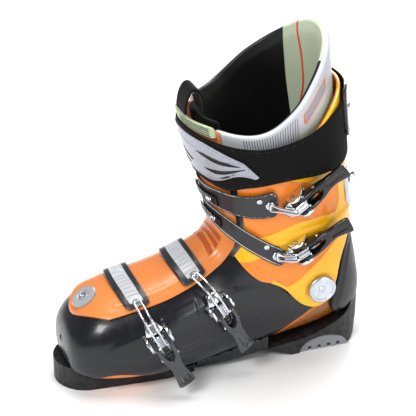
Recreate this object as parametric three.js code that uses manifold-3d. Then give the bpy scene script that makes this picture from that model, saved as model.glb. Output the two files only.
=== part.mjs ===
// A left alpine ski boot with a three-piece shell: a lower shell with an open throat, a long
// outer tongue hinged at the toe, and a cuff that pivots at the ankle, with four buckles, a
// power strap and a removable liner. Millimetres, X to the outer side, -Y to the toe, +Z up.
import * as THREE from "three";
import { mergeVertices } from "three/addons/utils/BufferGeometryUtils.js";
import Module from "manifold-3d";

const wasm = await Module();
wasm.setup();

// Overall sizes. The sections below are drawn at the DRAWN sizes and stretched to these.
const SHELL_LENGTH = 328;
const DRAWN_LENGTH = 328;
const CUFF_HEIGHT = 300;
const DRAWN_HEIGHT = 300;
const FOREFOOT_WIDTH = 112;
const DRAWN_WIDTH = 112;

// Walls and clearances.
const SHELL_WALL = 4.5;
const TONGUE_WALL = 3.6;
const CUFF_WALL = 4;
const LINER_WALL = 7.5;
const STRAP_WALL = 3;
const FIT = 0.6;
const CUFF_PLAY = 3.2;
const SOLE_GAP = 0.4;

// Cuff pivot, flex and the clearance wedge between the leg half and the foot half.
const PIVOT_DRAWN_Y = 112;
const PIVOT_DRAWN_Z = 84;
const PIVOT_DISC_RADIUS = 15;
const PIVOT_SHANK_RADIUS = 6;
const PIVOT_PLAY = 0.5;
const FLEX_DEGREES = 10;
const WEDGE_FRONT = 30;
const WEDGE_REAR = 160;

// Sole blocks and boot board.
const TOE_LUG_RADIUS = 35;
const TOE_LUG_HEIGHT = 25;
const HEEL_LUG_HEIGHT = 50;
const HEEL_FRONT_Y = 60;
const HEEL_HALF_WIDTH = 36;
const SOLE_SCREW_RADIUS = 4.6;
const BOARD_THICKNESS_TOE = 5;
const LINER_FLOOR = 5;
const INSOLE_THICKNESS = 3.5;

// Buckles: lever, pin, bail wire and base, all in the buckle's own frame.
const PIN_RADIUS = 2;
const PIN_HEIGHT = 6;
const PIN_PLAY = 0.4;
const BAIL_RADIUS = 1.3;
const BAIL_CLEARANCE = 1.5;
const BAIL_HALF_WIDTH = 3.4;
const BAIL_EYE_BACK = 8;
const BAIL_EYE_HEIGHT = 12;
const LEVER_LENGTH = 58;
const LEVER_HALF_WIDTH = 9.7;
const FORK_HALF_WIDTH = 5.6;
const CHEEK_THICKNESS = 3;
const CHEEK_GAP = 0.5;
const BASE_THICKNESS = 2.2;
const RIVET_RADIUS = 4.4;

// Round fasteners and the pull loop.
const HINGE_PLATE_RADIUS = 14;
const LOOP_HALF_WIDTH = 13;
const LOOP_RISE = 26;
const LOOP_REACH = 11;
const LOOP_THICKNESS = 2.6;

const lengthScale = SHELL_LENGTH / DRAWN_LENGTH;
const heightScale = CUFF_HEIGHT / DRAWN_HEIGHT;
const widthScale = FOREFOOT_WIDTH / DRAWN_WIDTH;

// Sections from the toe, over the ankle and up the leg: front Y and Z, rear Y and Z, half width,
// centre X, and the squareness of the front and rear halves.
const SECTIONS = [
  [-155, 46, -155, 46, 0, -6, 2.2, 2.4],
  [-150, 68, -152, 20, 34, -5, 2.2, 2.6],
  [-128, 89, -136, 12, 50, -3, 2.3, 3.2],
  [-93, 101, -101, 9, 56, -1, 2.2, 3.8],
  [-56, 112, -63, 9, 56, 2, 2.1, 3.8],
  [-22, 125, -23, 9, 51, 1, 2.1, 3.6],
  [-1, 138, 22, 12, 45, 0, 2.1, 3.4],
  [6, 150, 70, 17, 43, 0, 2.1, 3.2],
  [8, 161, 125, 24, 42, 0, 2.2, 2.8],
  [7, 172, 160, 36, 42, 0, 2.3, 2.4],
  [5, 184, 168, 62, 43, 0, 2.3, 2.3],
  [2, 199, 163, 97, 44, 0, 2.3, 2.3],
  [-2, 216, 155, 133, 47, 0, 2.3, 2.3],
  [-7, 235, 149, 170, 51, 0, 2.2, 2.2],
  [-13, 257, 143, 208, 55, 0, 2.2, 2.2],
  [-18, 278, 138, 246, 58, 0, 2.2, 2.2],
  [-21, 296, 133, 284, 60, 0, 2.2, 2.2],
  [-23, 316, 129, 322, 60, 0, 2.2, 2.2],
  [-25, 336, 125, 358, 58, 0, 2.2, 2.2],
  [-27, 356, 120, 394, 54, 0, 2.2, 2.2],
];
const ANGLE_STEP = 15;
// The toe and the instep bend need extra levels between the sections.
const LEVELS = [0.5, 1.5, 5.5, 6.5].concat(SECTIONS.map((section, t) => t)).sort((a, b) => a - b);

const along = (y) => y * lengthScale;
const up = (z) => z * heightScale;
const clamp = (value, low, high) => Math.min(high, Math.max(low, value));
const mix = (a, b, f) => a + (b - a) * f;
const radians = (degrees) => (degrees * Math.PI) / 180;
const wholeTurn = (degrees) => ((degrees % 360) + 360) % 360;

function smoothStep(low, high, value) {
  const f = clamp((value - low) / (high - low), 0, 1);
  return f * f * (3 - 2 * f);
}

// The slope of a knot curve at knot i: level at both ends, and an average of its sides between.
function knotSlope(list, i) {
  if (i === 0 || i === list.length - 1) return 0;
  return (list[i + 1][1] - list[i - 1][1]) / (list[i + 1][0] - list[i - 1][0]);
}

// A smooth curve through the knots [angle, value], read at any angle.
function knots(list, angle) {
  let i = 0;
  while (i < list.length - 2 && angle > list[i + 1][0]) i += 1;
  const [a0, v0] = list[i];
  const [a1, v1] = list[i + 1];
  const span = a1 - a0;
  const f = clamp((angle - a0) / span, 0, 1);
  const leaving = span * knotSlope(list, i) * f * (1 - f) * (1 - f);
  const arriving = span * knotSlope(list, i + 1) * f * f * (1 - f);
  return mix(v0, v1, smoothStep(0, 1, f)) + leaving - arriving;
}

function catmull(a, b, c, d, f) {
  const square = (2 * a - 5 * b + 4 * c - d) * f * f;
  const cube = (3 * b - a - 3 * c + d) * f * f * f;
  return 0.5 * (2 * b + (c - a) * f + square + cube);
}

function sectionAt(t) {
  const last = SECTIONS.length - 1;
  const i = clamp(Math.floor(t), 0, last - 1);
  const b = SECTIONS[i];
  const c = SECTIONS[i + 1];
  const a = SECTIONS[i - 1] ?? b.map((v, k) => 2 * v - c[k]);
  const d = SECTIONS[i + 2] ?? c.map((v, k) => 2 * v - b[k]);
  return b.map((v, k) => catmull(a[k], v, c[k], d[k], t - i));
}

// The point of the boot's surface at section t and angle: 0 is the front, 90 the outer side and
// 180 the sole or the back of the leg. The offset moves it outwards.
function skinPoint(t, angle, offset) {
  const [fy, fz, ry, rz, half, centre, frontPower, rearPower] = sectionAt(t);
  const front = new THREE.Vector2(along(fy), up(fz));
  const rear = new THREE.Vector2(along(ry), up(rz));
  const middle = front.clone().add(rear).multiplyScalar(0.5);
  const spine = front.clone().sub(rear);
  const reach = spine.length() / 2;
  if (reach > 1e-6) spine.normalize();
  else spine.set(0, 1);
  const c = Math.cos(radians(angle));
  const s = Math.sin(radians(angle));
  const power = c > 0 ? frontPower : rearPower;
  const k = (Math.abs(c) ** power + Math.abs(s) ** power) ** (-1 / power);
  const out = (reach + offset) * c * k;
  const side = (half * widthScale + offset) * s * k;
  return new THREE.Vector3(centre + side, middle.x + spine.x * out, middle.y + spine.y * out);
}

// A closed geometry as a manifold solid, with its faces turned outwards.
function toSolid(geometry) {
  const bare = geometry.clone();
  bare.deleteAttribute("normal");
  bare.deleteAttribute("uv");
  const merged = mergeVertices(bare, 1e-4);
  const index = merged.index.array;
  const kept = [];
  for (let i = 0; i < index.length; i += 3) {
    const [a, b, c] = [index[i], index[i + 1], index[i + 2]];
    if (a !== b && b !== c && c !== a) kept.push(a, b, c);
  }
  const build = (triangles) =>
    new wasm.Manifold(
      new wasm.Mesh({
        numProp: 3,
        vertProperties: merged.attributes.position.array,
        triVerts: new Uint32Array(triangles),
      }),
    );
  const made = build(kept);
  if (made.volume() > 0) return made;
  return build(kept.slice().reverse());
}

function toGeometry(made) {
  const mesh = made.getMesh();
  const geometry = new THREE.BufferGeometry();
  const places = new Float32Array((mesh.vertProperties.length / mesh.numProp) * 3);
  for (let i = 0; i < places.length / 3; i += 1)
    for (let k = 0; k < 3; k += 1) places[i * 3 + k] = mesh.vertProperties[i * mesh.numProp + k];
  geometry.setAttribute("position", new THREE.BufferAttribute(places, 3));
  geometry.setIndex(new THREE.BufferAttribute(new Uint32Array(mesh.triVerts), 1));
  geometry.computeVertexNormals();
  return geometry;
}

function fromFaces(points, faces) {
  const geometry = new THREE.BufferGeometry().setFromPoints(points);
  geometry.setIndex(faces);
  return toSolid(geometry);
}

// A closed solid through rings of points, capped at both ends or joined end to end.
function throughRings(rings, endless = false) {
  const size = rings[0].length;
  const points = rings.flat();
  const faces = [];
  const spans = endless ? rings.length : rings.length - 1;
  for (let i = 0; i < spans; i += 1)
    for (let j = 0; j < size; j += 1) {
      const next = ((i + 1) % rings.length) * size;
      const [a, b] = [i * size + j, i * size + ((j + 1) % size)];
      const [c, d] = [next + ((j + 1) % size), next + j];
      faces.push(a, b, c, a, c, d);
    }
  if (endless) return fromFaces(points, faces);
  for (const [ring, turned] of [[0, true], [rings.length - 1, false]]) {
    const centre = new THREE.Vector3();
    for (const p of rings[ring]) centre.addScaledVector(p, 1 / size);
    const middle = points.push(centre) - 1;
    for (let j = 0; j < size; j += 1) {
      const [a, b] = [ring * size + j, ring * size + ((j + 1) % size)];
      if (turned) faces.push(b, a, middle);
      else faces.push(a, b, middle);
    }
  }
  return fromFaces(points, faces);
}

function angles() {
  const list = [];
  for (let a = 0; a < 360; a += ANGLE_STEP) list.push(a);
  return list;
}

// The filled boot shape between two sections. Every loft uses the same sections and angles, so
// that layers with different offsets stay parallel.
function loft(from, to, offset) {
  const rings = [];
  const level = typeof offset === "function" ? offset : () => offset;
  for (const t of LEVELS.filter((value) => value >= from && value <= to))
    rings.push(angles().map((a) => skinPoint(t, a, level(t, a))));
  return throughRings(rings);
}

function layer(from, to, inner, outer) {
  return loft(from, to, outer).subtract(loft(from - 1, to + 1, inner));
}

// A cutting block over the patch place(u, v) = [t, angle], between two offsets.
function slab(place, low = -20, high = 30, rows = 5, columns = 7) {
  const points = [];
  const faces = [];
  for (const offset of [low, high])
    for (let i = 0; i <= rows; i += 1)
      for (let j = 0; j <= columns; j += 1)
        points.push(skinPoint(...place(i / rows, j / columns), offset));
  const at = (top, i, j) => (top * (rows + 1) + i) * (columns + 1) + j;
  const quad = (a, b, c, d) => faces.push(a, b, c, a, c, d);
  for (let i = 0; i < rows; i += 1)
    for (let j = 0; j < columns; j += 1) {
      quad(at(0, i, j), at(0, i, j + 1), at(0, i + 1, j + 1), at(0, i + 1, j));
      quad(at(1, i, j), at(1, i + 1, j), at(1, i + 1, j + 1), at(1, i, j + 1));
    }
  for (let i = 0; i < rows; i += 1) {
    quad(at(0, i, 0), at(0, i + 1, 0), at(1, i + 1, 0), at(1, i, 0));
    quad(at(0, i, columns), at(1, i, columns), at(1, i + 1, columns), at(0, i + 1, columns));
  }
  for (let j = 0; j < columns; j += 1) {
    quad(at(0, 0, j), at(1, 0, j), at(1, 0, j + 1), at(0, 0, j + 1));
    quad(at(0, rows, j), at(0, rows, j + 1), at(1, rows, j + 1), at(1, rows, j));
  }
  return fromFaces(points, faces);
}

// A cutting ring round the leg, between two edges that rise and fall with the angle.
function ringBlock(lowEdge, highEdge) {
  const rings = angles().map((a) => {
    const place = (f, offset) => skinPoint(mix(lowEdge(a), highEdge(a), f), a, offset);
    const outside = [0, 0.2, 0.4, 0.6, 0.8, 1].map((f) => place(f, 30));
    const inside = [1, 0.5, 0].map((f) => place(f, -30));
    return outside.concat(inside);
  });
  return throughRings(rings, true);
}

// A prism across the boot from an outline of Y and Z points.
function sidePrism(outline) {
  const shape = new THREE.Shape(outline.map(([y, z]) => new THREE.Vector2(y, z)));
  const geometry = new THREE.ExtrudeGeometry(shape, { depth: 260, bevelEnabled: false });
  geometry.translate(0, 0, -130);
  const basis = new THREE.Matrix4().makeBasis(
    new THREE.Vector3(0, 1, 0),
    new THREE.Vector3(0, 0, 1),
    new THREE.Vector3(1, 0, 0),
  );
  return toSolid(geometry.applyMatrix4(basis));
}

function box(x0, x1, y0, y1, z0, z1) {
  const geometry = new THREE.BoxGeometry(x1 - x0, y1 - y0, z1 - z0);
  geometry.translate((x0 + x1) / 2, (y0 + y1) / 2, (z0 + z1) / 2);
  return toSolid(geometry);
}

// A cylinder from one point to another.
function rod(start, end, radius, sides = 20) {
  const run = end.clone().sub(start);
  const geometry = new THREE.CylinderGeometry(radius, radius, run.length(), sides);
  const turn = new THREE.Quaternion();
  turn.setFromUnitVectors(new THREE.Vector3(0, 1, 0), run.clone().normalize());
  geometry.applyQuaternion(turn);
  geometry.translate(...start.clone().add(end).multiplyScalar(0.5).toArray());
  return toSolid(geometry);
}

const group = new THREE.Group();
group.name = "ski_boot_left";

const LOOKS = {
  shell: [0x1c222b, 0.3, 0],
  sole: [0x16181b, 0.6, 0],
  tread: [0x9a9da0, 0.7, 0],
  orange: [0xe0662a, 0.35, 0],
  yellow: [0xf7b71c, 0.35, 0],
  grey: [0x4c4f54, 0.4, 0],
  black: [0x141517, 0.4, 0],
  chrome: [0xd6dade, 0.15, 1],
  silver: [0xc4c8cc, 0.4, 0.3],
  lining: [0x2a2b2e, 0.9, 0],
  webbing: [0x1b1b1d, 0.9, 0],
  sage: [0xb9c7a8, 0.5, 0],
};

function add(name, made, look, parent = group) {
  const [color, roughness, metalness] = LOOKS[look];
  const material = new THREE.MeshStandardMaterial({ color, roughness, metalness });
  const mesh = new THREE.Mesh(toGeometry(made), material);
  mesh.name = name;
  parent.add(mesh);
  return mesh;
}

// The frame of a fitting on the surface: X towards the target, Y across, Z outwards.
function fittingFrame(t, angle, offset, targetT, targetAngle) {
  const step = 0.05;
  const origin = skinPoint(t, angle, offset);
  const upwards = skinPoint(t + step, angle, offset).sub(skinPoint(t - step, angle, offset));
  const round = skinPoint(t, angle + step, offset).sub(skinPoint(t, angle - step, offset));
  const out = round.cross(upwards).normalize();
  const pull = skinPoint(targetT, targetAngle, offset).sub(origin);
  pull.addScaledVector(out, -pull.dot(out)).normalize();
  const across = out.clone().cross(pull);
  return new THREE.Matrix4().makeBasis(pull, across, out).setPosition(origin);
}

function placed(made, frame) {
  return toSolid(toGeometry(made).applyMatrix4(frame));
}

// ---- Offsets of the layers, counted from the outside of the lower shell.
const tongueIn = FIT;
const tongueOut = tongueIn + TONGUE_WALL;
const cuffIn = CUFF_PLAY;
const cuffOut = cuffIn + CUFF_WALL;
const bandIn = tongueOut + FIT;
const bandOut = bandIn + STRAP_WALL;
const overCuffIn = cuffOut + FIT;
const overCuffOut = overCuffIn + STRAP_WALL;
const linerOut = -SHELL_WALL - FIT;

const pivotY = along(PIVOT_DRAWN_Y);
const pivotZ = up(PIVOT_DRAWN_Z);

// A wedge about the cuff pivot, between two directions counted from the toe upwards.
function pivotWedge(fromDegrees, toDegrees, lift) {
  const reach = 520;
  const ray = (degrees) => [
    pivotY - Math.cos(radians(degrees)) * reach,
    pivotZ + lift + Math.sin(radians(degrees)) * reach,
  ];
  const middle = (fromDegrees + toDegrees) / 2;
  const outline = [[pivotY, pivotZ + lift], ray(fromDegrees), ray(middle), ray(toDegrees)];
  return sidePrism(outline.reverse());
}
const footCut = pivotWedge(WEDGE_FRONT, WEDGE_REAR, 0);
const legKeep = pivotWedge(WEDGE_FRONT + FLEX_DEGREES + 1, WEDGE_REAR - 0.5, 1.5);

// Heights of the boot board: it ramps up to the heel.
const boardLine = (y, extra) => up(15 + BOARD_THICKNESS_TOE) + 0.078 * (y + 100) + extra;
function aboveBoard(extra) {
  const [y0, y1] = [along(-200), along(220)];
  return sidePrism([[y0, boardLine(y0, extra)], [y1, boardLine(y1, extra)], [y1, 900], [y0, 900]]);
}

// ---- Lower shell.
const throatHalf = (t) => 36 * Math.sqrt(clamp((t - 1.7) / 0.9, 0, 1));
const throat = slab(
  (u, v) => [mix(1.7, 8.6, u), mix(-1, 1, v) * Math.max(1, throatHalf(mix(1.7, 8.6, u)))],
  -16, 30, 14, 6,
);
const shellTop = sidePrism([
  [along(-200), up(150)], [along(-30), up(142)], [along(30), up(127)], [along(115), up(124)],
  [along(140), up(136)], [along(200), up(140)], [along(200), 900], [along(-200), 900],
]);
// The shell's low arch between the two sole blocks: its plan and its side view.
function soleBlock(points, height) {
  const shape = new THREE.Shape(points);
  return toSolid(new THREE.ExtrudeGeometry(shape, { depth: height, bevelEnabled: false }));
}
const ARCH_PLAN = [
  [-27, -20], [32, -20], [33.5, 10], [34.5, 35], [35, 59], [-34, 59], [-31, 35], [-28, 10],
];
const ARCH_SIDE = [[-20, 2], [16, 4], [45, 8.5], [59, 12], [59, 45], [-20, 45]];
const archPoints = ARCH_PLAN.map(([x, y]) => new THREE.Vector2(x * widthScale, along(y)));
const arch = soleBlock(archPoints, 45)
  .intersect(sidePrism(ARCH_SIDE.map(([y, z]) => [along(y), z])))
  .subtract(loft(0, 13, -1));
const pivotBore = (radius) =>
  rod(new THREE.Vector3(-90, pivotY, pivotZ), new THREE.Vector3(90, pivotY, pivotZ), radius, 12);
add(
  "lower_shell",
  loft(0, 13, 0)
    .subtract(loft(1, 14, -SHELL_WALL))
    .subtract(throat)
    .subtract(shellTop)
    .subtract(pivotBore(PIVOT_SHANK_RADIUS + PIVOT_PLAY))
    .add(arch),
  "shell",
);

// ---- Boot board, liner and insole inside the lower shell.
const insideShell = loft(1.5, 12, linerOut);
add("boot_board", insideShell.subtract(aboveBoard(0)), "black");
const linerRoom = loft(2, 13, linerOut - LINER_WALL);
add(
  "liner_foot",
  insideShell
    .intersect(aboveBoard(FIT))
    .subtract(linerRoom.intersect(aboveBoard(FIT + LINER_FLOOR)))
    .subtract(footCut),
  "lining",
);
const insoleBottom = FIT + LINER_FLOOR + FIT;
add(
  "insole",
  loft(3, 11, linerOut - LINER_WALL - FIT)
    .intersect(aboveBoard(insoleBottom))
    .subtract(aboveBoard(insoleBottom + INSOLE_THICKNESS)),
  "grey",
);

// ---- Liner above the ankle, with its own tongue at the front.
const RIM = [
  [0, 15.3], [45, 14.95], [75, 15.15], [105, 16.1], [125, 16.9], [150, 17.6], [180, 17.95],
  [215, 17.8], [260, 16.95], [300, 15.75], [330, 15.45], [360, 15.3],
];
const rimAt = (angle) => knots(RIM, wholeTurn(angle));
const legOffset = (t) => mix(linerOut - 2, -0.2, smoothStep(12.3, 13.6, t));
const linerLeg = layer(6, 19, (t) => legOffset(t) - LINER_WALL, legOffset);
const linerTongueHalf = 39;
const legBelowRim = ringBlock(() => 5.5, rimAt);
add(
  "liner_cuff",
  linerLeg
    .intersect(legKeep)
    .intersect(legBelowRim)
    .subtract(slab((u, v) => [mix(5.5, 19, u), mix(-1, 1, v) * linerTongueHalf], -25, 30, 12, 4)),
  "silver",
);
add(
  "liner_tongue",
  layer(6, 17, linerOut - 1 - LINER_WALL, linerOut - 1)
    .intersect(legKeep)
    .intersect(slab((u, v) => [mix(5.5, 15.3, u), mix(-1, 1, v) * (linerTongueHalf - 1.5)], -25, 30, 9, 5)),
  "lining",
);

// ---- Outer tongue: one flexible moulding over the throat, from the toe to the top of the shin.
const TONGUE_TOE = 1.35;
const TONGUE_TOP = 15;
const tongueHalf = (t) => {
  const nose = Math.sqrt(clamp((t - TONGUE_TOE) / 1.1, 0.004, 1));
  return mix(46, 43, smoothStep(6, 10, t)) * nose;
};
const tongue = layer(1, 16, tongueIn, tongueOut).intersect(
  slab((u, v) => {
    const t = mix(TONGUE_TOE, TONGUE_TOP, u ** 1.4);
    return [t, mix(-1, 1, v) * tongueHalf(t)];
  }, -12, 30, 20, 6),
);
add("tongue_foot", tongue.subtract(footCut), "orange");
add("tongue_shin", tongue.intersect(legKeep), "orange");

function disc(frame, radius, low, high, sides = 14) {
  const made = rod(new THREE.Vector3(0, 0, low), new THREE.Vector3(0, 0, high), radius, sides);
  return placed(made, frame);
}
const hingeFrame = fittingFrame(1.95, 2, tongueOut, 3, 2);
const tongueCover = loft(0.5, 4, tongueOut + SOLE_GAP);
add(
  "tongue_hinge_plate",
  disc(hingeFrame, HINGE_PLATE_RADIUS, -6, 2.6).subtract(tongueCover)
    .subtract(disc(hingeFrame, 5, 1.2, 5)),
  "silver",
);
add("tongue_hinge_screw", disc(hingeFrame, 4.5, 1.6, 3.4), "chrome");

// ---- Cuff and ankle pivots.
const CUFF_TOP = [[0, 13.8], [60, 13.8], [90, 14.4], [137, 16.1], [180, 16.5]];
const mirrored = (angle) => Math.min(wholeTurn(angle), 360 - wholeTurn(angle));
const cuffTop = (angle) => knots(CUFF_TOP, mirrored(angle));
const CUFF_EDGE = [
  [4, 190], [12, 150], [26, 122], [43, 104], [58, 98], [71, 90], [84, 75], [94, 67], [106, 63],
  [117, 66], [124, 74], [128, 90], [132, 114], [139, 134], [148, 150], [160, 156], [200, 157],
];
const cuffSide = sidePrism(
  [[along(200), 900], [along(-120), 900], [along(-120), up(190)]]
    .concat(CUFF_EDGE.map(([y, z]) => [along(y), up(z)])),
);
const cuffFront = slab((u, v) => [mix(5, 18, u), mix(-1, 1, v) * 50], -12, 30, 9, 6);
// Where the shell's sides stand, seen from the cuff, when the cuff is flexed fully forward.
const flexedShell = loft(0, 13, FIT)
  .subtract(shellTop)
  .translate([0, -pivotY, -pivotZ])
  .rotate([-FLEX_DEGREES, 0, 0])
  .translate([0, pivotY, pivotZ]);
add(
  "cuff",
  layer(6, 18, cuffIn, cuffOut)
    .subtract(flexedShell)
    .intersect(cuffSide)
    .intersect(ringBlock(() => 5.6, cuffTop))
    .subtract(cuffFront)
    .subtract(pivotBore(PIVOT_SHANK_RADIUS + PIVOT_PLAY)),
  "yellow",
);
const cuffCover = loft(5, 18, cuffOut + SOLE_GAP);
const pivotReach = 52 * widthScale + CUFF_WALL;
const shankStart = 42 * widthScale - SHELL_WALL + 1.2;
for (const [name, side] of [["pivot_lateral", 1], ["pivot_medial", -1]]) {
  const at = (x) => new THREE.Vector3(side * x, pivotY, pivotZ);
  const head = rod(at(shankStart), at(pivotReach - 2), PIVOT_DISC_RADIUS, 20).subtract(cuffCover);
  const shank = rod(at(shankStart), at(pivotReach - 3), PIVOT_SHANK_RADIUS, 12);
  add(name, head.add(shank), "silver");
}

// ---- Heel guard on the back of the shell, spine plate and bolt on the back of the cuff.
const GUARD_SIDE = [
  [128, 56], [133, 84], [139, 116], [147, 134], [156, 148], [195, 150], [195, 40], [150, 38],
  [136, 42],
];
const guardSide = sidePrism(GUARD_SIDE.map(([y, z]) => [along(y), up(z)]).reverse());
const GUARD_OUT = 5.2;
add("heel_guard", layer(7, 14, 0.5, GUARD_OUT).intersect(guardSide), "black");

const platePatch = slab((u, v) => [mix(12.9, 14.1, u), mix(142, 218, v)], 0, 30);
const plateOut = cuffOut + SOLE_GAP + 1.8;
add("spine_plate", layer(12, 15, cuffOut + SOLE_GAP, plateOut).intersect(platePatch), "silver");
const boltFrame = fittingFrame(13.5, 176, plateOut, 15, 176);
const plateCover = loft(12, 15, plateOut + SOLE_GAP);
add("spine_washer", disc(boltFrame, 8, -3, 2.4).subtract(plateCover), "black");
add("spine_bolt", disc(boltFrame, 5, 2.8, 9), "chrome");

// ---- Power strap with its panel and rear clip.
const STRAP_LOW = [[0, 11.75], [40, 11.9], [60, 12.7], [90, 13.6], [137, 14.3], [180, 14.8]];
const STRAP_HIGH = [[0, 14.6], [50, 14.5], [75, 14.7], [105, 15.3], [137, 15.95], [180, 16.2]];
const strapLow = (angle) => knots(STRAP_LOW, mirrored(angle));
const strapHigh = (angle) => knots(STRAP_HIGH, mirrored(angle));
const belowStrap = loft(9.5, 18, overCuffOut + 2);
const strapBlock = ringBlock(strapLow, strapHigh).intersect(belowStrap);
const strapOut = overCuffOut;
add("power_strap", layer(10, 18, overCuffIn, strapOut).intersect(strapBlock), "webbing");
const panelOut = strapOut + SOLE_GAP + 1.2;
const panelPatch = slab((u, v) => {
  const angle = mix(-62, 70, v);
  const point = smoothStep(28, 70, angle);
  const low = mix(strapLow(angle) + 0.35, 13.45, point);
  const high = mix(strapHigh(angle) - 0.25, 13.55, point);
  return [mix(low, high, u), angle];
}, 0, 30, 4, 14);
add("strap_panel", layer(10, 16, strapOut + SOLE_GAP, panelOut).intersect(panelPatch), "silver");
const clipOut = strapOut + SOLE_GAP + 3;
const clipPatch = slab((u, v) => [mix(15.05, 16.5, u), mix(146, 214, v)], 0, 30);
add("strap_rear_clip", layer(14, 18, strapOut + SOLE_GAP, clipOut).intersect(clipPatch), "black");
const clipFrame = fittingFrame(15.8, 160, clipOut, 17, 160);
const clipCover = loft(14, 18, clipOut + SOLE_GAP);
add("strap_clip_screw", disc(clipFrame, 4.5, -3, 2).subtract(clipCover), "chrome");

// ---- Moulded tab on the top of the outer tongue, and the woven pull loop above it.
const tabPatch = slab((u, v) => [mix(14.65, 15.2, u), mix(-20, 42, v)], 0, 30);
add("tongue_tab", layer(13, 17, tongueOut + SOLE_GAP, tongueOut + 4.4).intersect(tabPatch), "sage");
const loopFoot = skinPoint(15.3, 0, 0);
const loopShape = new THREE.Shape();
const loopY = loopFoot.y + 4;
const loopZ = loopFoot.z + 1.2;
loopShape.absellipse(loopY, loopZ, LOOP_REACH, LOOP_RISE, 0, Math.PI, false, 0);
loopShape.lineTo(loopY - LOOP_REACH + LOOP_THICKNESS, loopZ);
const innerReach = LOOP_REACH - LOOP_THICKNESS;
loopShape.absellipse(loopY, loopZ, innerReach, LOOP_RISE - LOOP_THICKNESS, Math.PI, 0, true, 0);
const loopOutline = loopShape.getPoints(14).map((p) => [p.x, p.y]);
const loopSlice = box(-LOOP_HALF_WIDTH + 4, LOOP_HALF_WIDTH + 4, -900, 900, -900, 900);
add("pull_loop", sidePrism(loopOutline).intersect(loopSlice), "webbing");

// ---- Soles: toe block, heel block and its grey tread, held by screws from below.
const shellCover = loft(0, 12, SOLE_GAP);
const toeCentre = new THREE.Vector2(-4, along(-163) + TOE_LUG_RADIUS);
const toePoints = [];
for (let a = 180; a <= 360; a += 12)
  toePoints.push(
    new THREE.Vector2(Math.cos(radians(a)), Math.sin(radians(a)))
      .multiplyScalar(TOE_LUG_RADIUS)
      .add(toeCentre),
  );
for (const [x, y] of [[33, -100], [36, -52], [32, -22], [-28, -22], [-34, -52], [-40, -100]])
  toePoints.push(new THREE.Vector2(x * widthScale, along(y)));
const screwPlaces = [
  ["toe_sole_screw_1", 14, -112], ["toe_sole_screw_2", -20, -112],
  ["heel_sole_screw_1", 13, 124], ["heel_sole_screw_2", -13, 124],
];
const screwHole = (x, y, radius, low, high) =>
  rod(new THREE.Vector3(x, y, low), new THREE.Vector3(x, y, high), radius, 10);
// Behind the toe lug the block is a thin plate under the forefoot.
const TOE_SIDE = [
  [-190, 0], [0, 0], [0, 8], [-92, 9], [-116, 17], [-132, TOE_LUG_HEIGHT], [-190, TOE_LUG_HEIGHT],
];
let toeSole = soleBlock(toePoints, TOE_LUG_HEIGHT)
  .intersect(sidePrism(TOE_SIDE.map(([y, z]) => [along(y), z])))
  .subtract(shellCover);
const heelPoints = [];
const heelRear = along(173);
for (let a = 0; a <= 180; a += 15) {
  const x = HEEL_HALF_WIDTH * Math.cos(radians(a)) * (1 - 0.1 * Math.sin(radians(a)));
  heelPoints.push(new THREE.Vector2(x, heelRear - 34 + 34 * Math.sin(radians(a))));
}
heelPoints.push(new THREE.Vector2(-HEEL_HALF_WIDTH, along(HEEL_FRONT_Y)));
heelPoints.push(new THREE.Vector2(HEEL_HALF_WIDTH, along(HEEL_FRONT_Y)));
// The block's side view: a sloping nose under the arch, rising to a ledge behind the heel.
const HEEL_SIDE = [
  [61, 13], [86, 0], [158, 0], [164, 6], [166, 18], [171, 34], [172, HEEL_LUG_HEIGHT],
  [158, HEEL_LUG_HEIGHT], [152, 41],
  [143, 35], [132, 29], [115, 22], [97, 17],
];
let heelSole = soleBlock(heelPoints, HEEL_LUG_HEIGHT)
  .intersect(sidePrism(HEEL_SIDE.map(([y, z]) => [along(y), z]).reverse()))
  .subtract(shellCover)
  .subtract(loft(7, 14, GUARD_OUT + SOLE_GAP).intersect(guardSide));
const TREAD_START = 96;
const TREAD_END = 152;
const TREAD_RISE = 16;
function treadPrism(grow) {
  const outline = [];
  const middle = along((TREAD_START + TREAD_END) / 2);
  const half = along((TREAD_END - TREAD_START) / 2) + grow;
  for (let a = 0; a <= 180; a += 15)
    outline.push([middle + half * Math.cos(radians(a)), (TREAD_RISE + grow) * Math.sin(radians(a))]);
  outline.push([middle - half, -2], [middle + half, -2]);
  return sidePrism(outline);
}
const floorUp = box(-90, 90, -400, 400, 0, 60);
const treadWidth = HEEL_HALF_WIDTH - 1.5;
let tread = treadPrism(0).intersect(floorUp).intersect(box(-treadWidth, treadWidth, 0, 400, -1, 60));
for (const side of [-1, 1])
  for (let k = 0; k < 4; k += 1) {
    const y = along(TREAD_START + 10 + k * 11);
    const [x0, x1] = side > 0 ? [treadWidth - 7, treadWidth + 5] : [-treadWidth - 5, -treadWidth + 7];
    tread = tread.subtract(box(x0, x1, y, y + 4, -1, 5));
  }
heelSole = heelSole.subtract(treadPrism(SOLE_GAP));
for (const [name, x, drawnY] of screwPlaces) {
  const y = along(drawnY);
  const pocket = screwHole(x, y, SOLE_SCREW_RADIUS + SOLE_GAP, -1, 3.6);
  if (drawnY < 0) toeSole = toeSole.subtract(pocket);
  else tread = tread.subtract(pocket);
  add(name, screwHole(x, y, SOLE_SCREW_RADIUS, 0.8, 3.2), "chrome");
}
add("toe_sole", toeSole, "sole");
add("heel_sole", heelSole, "sole");
add("heel_tread", tread, "tread");

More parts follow.
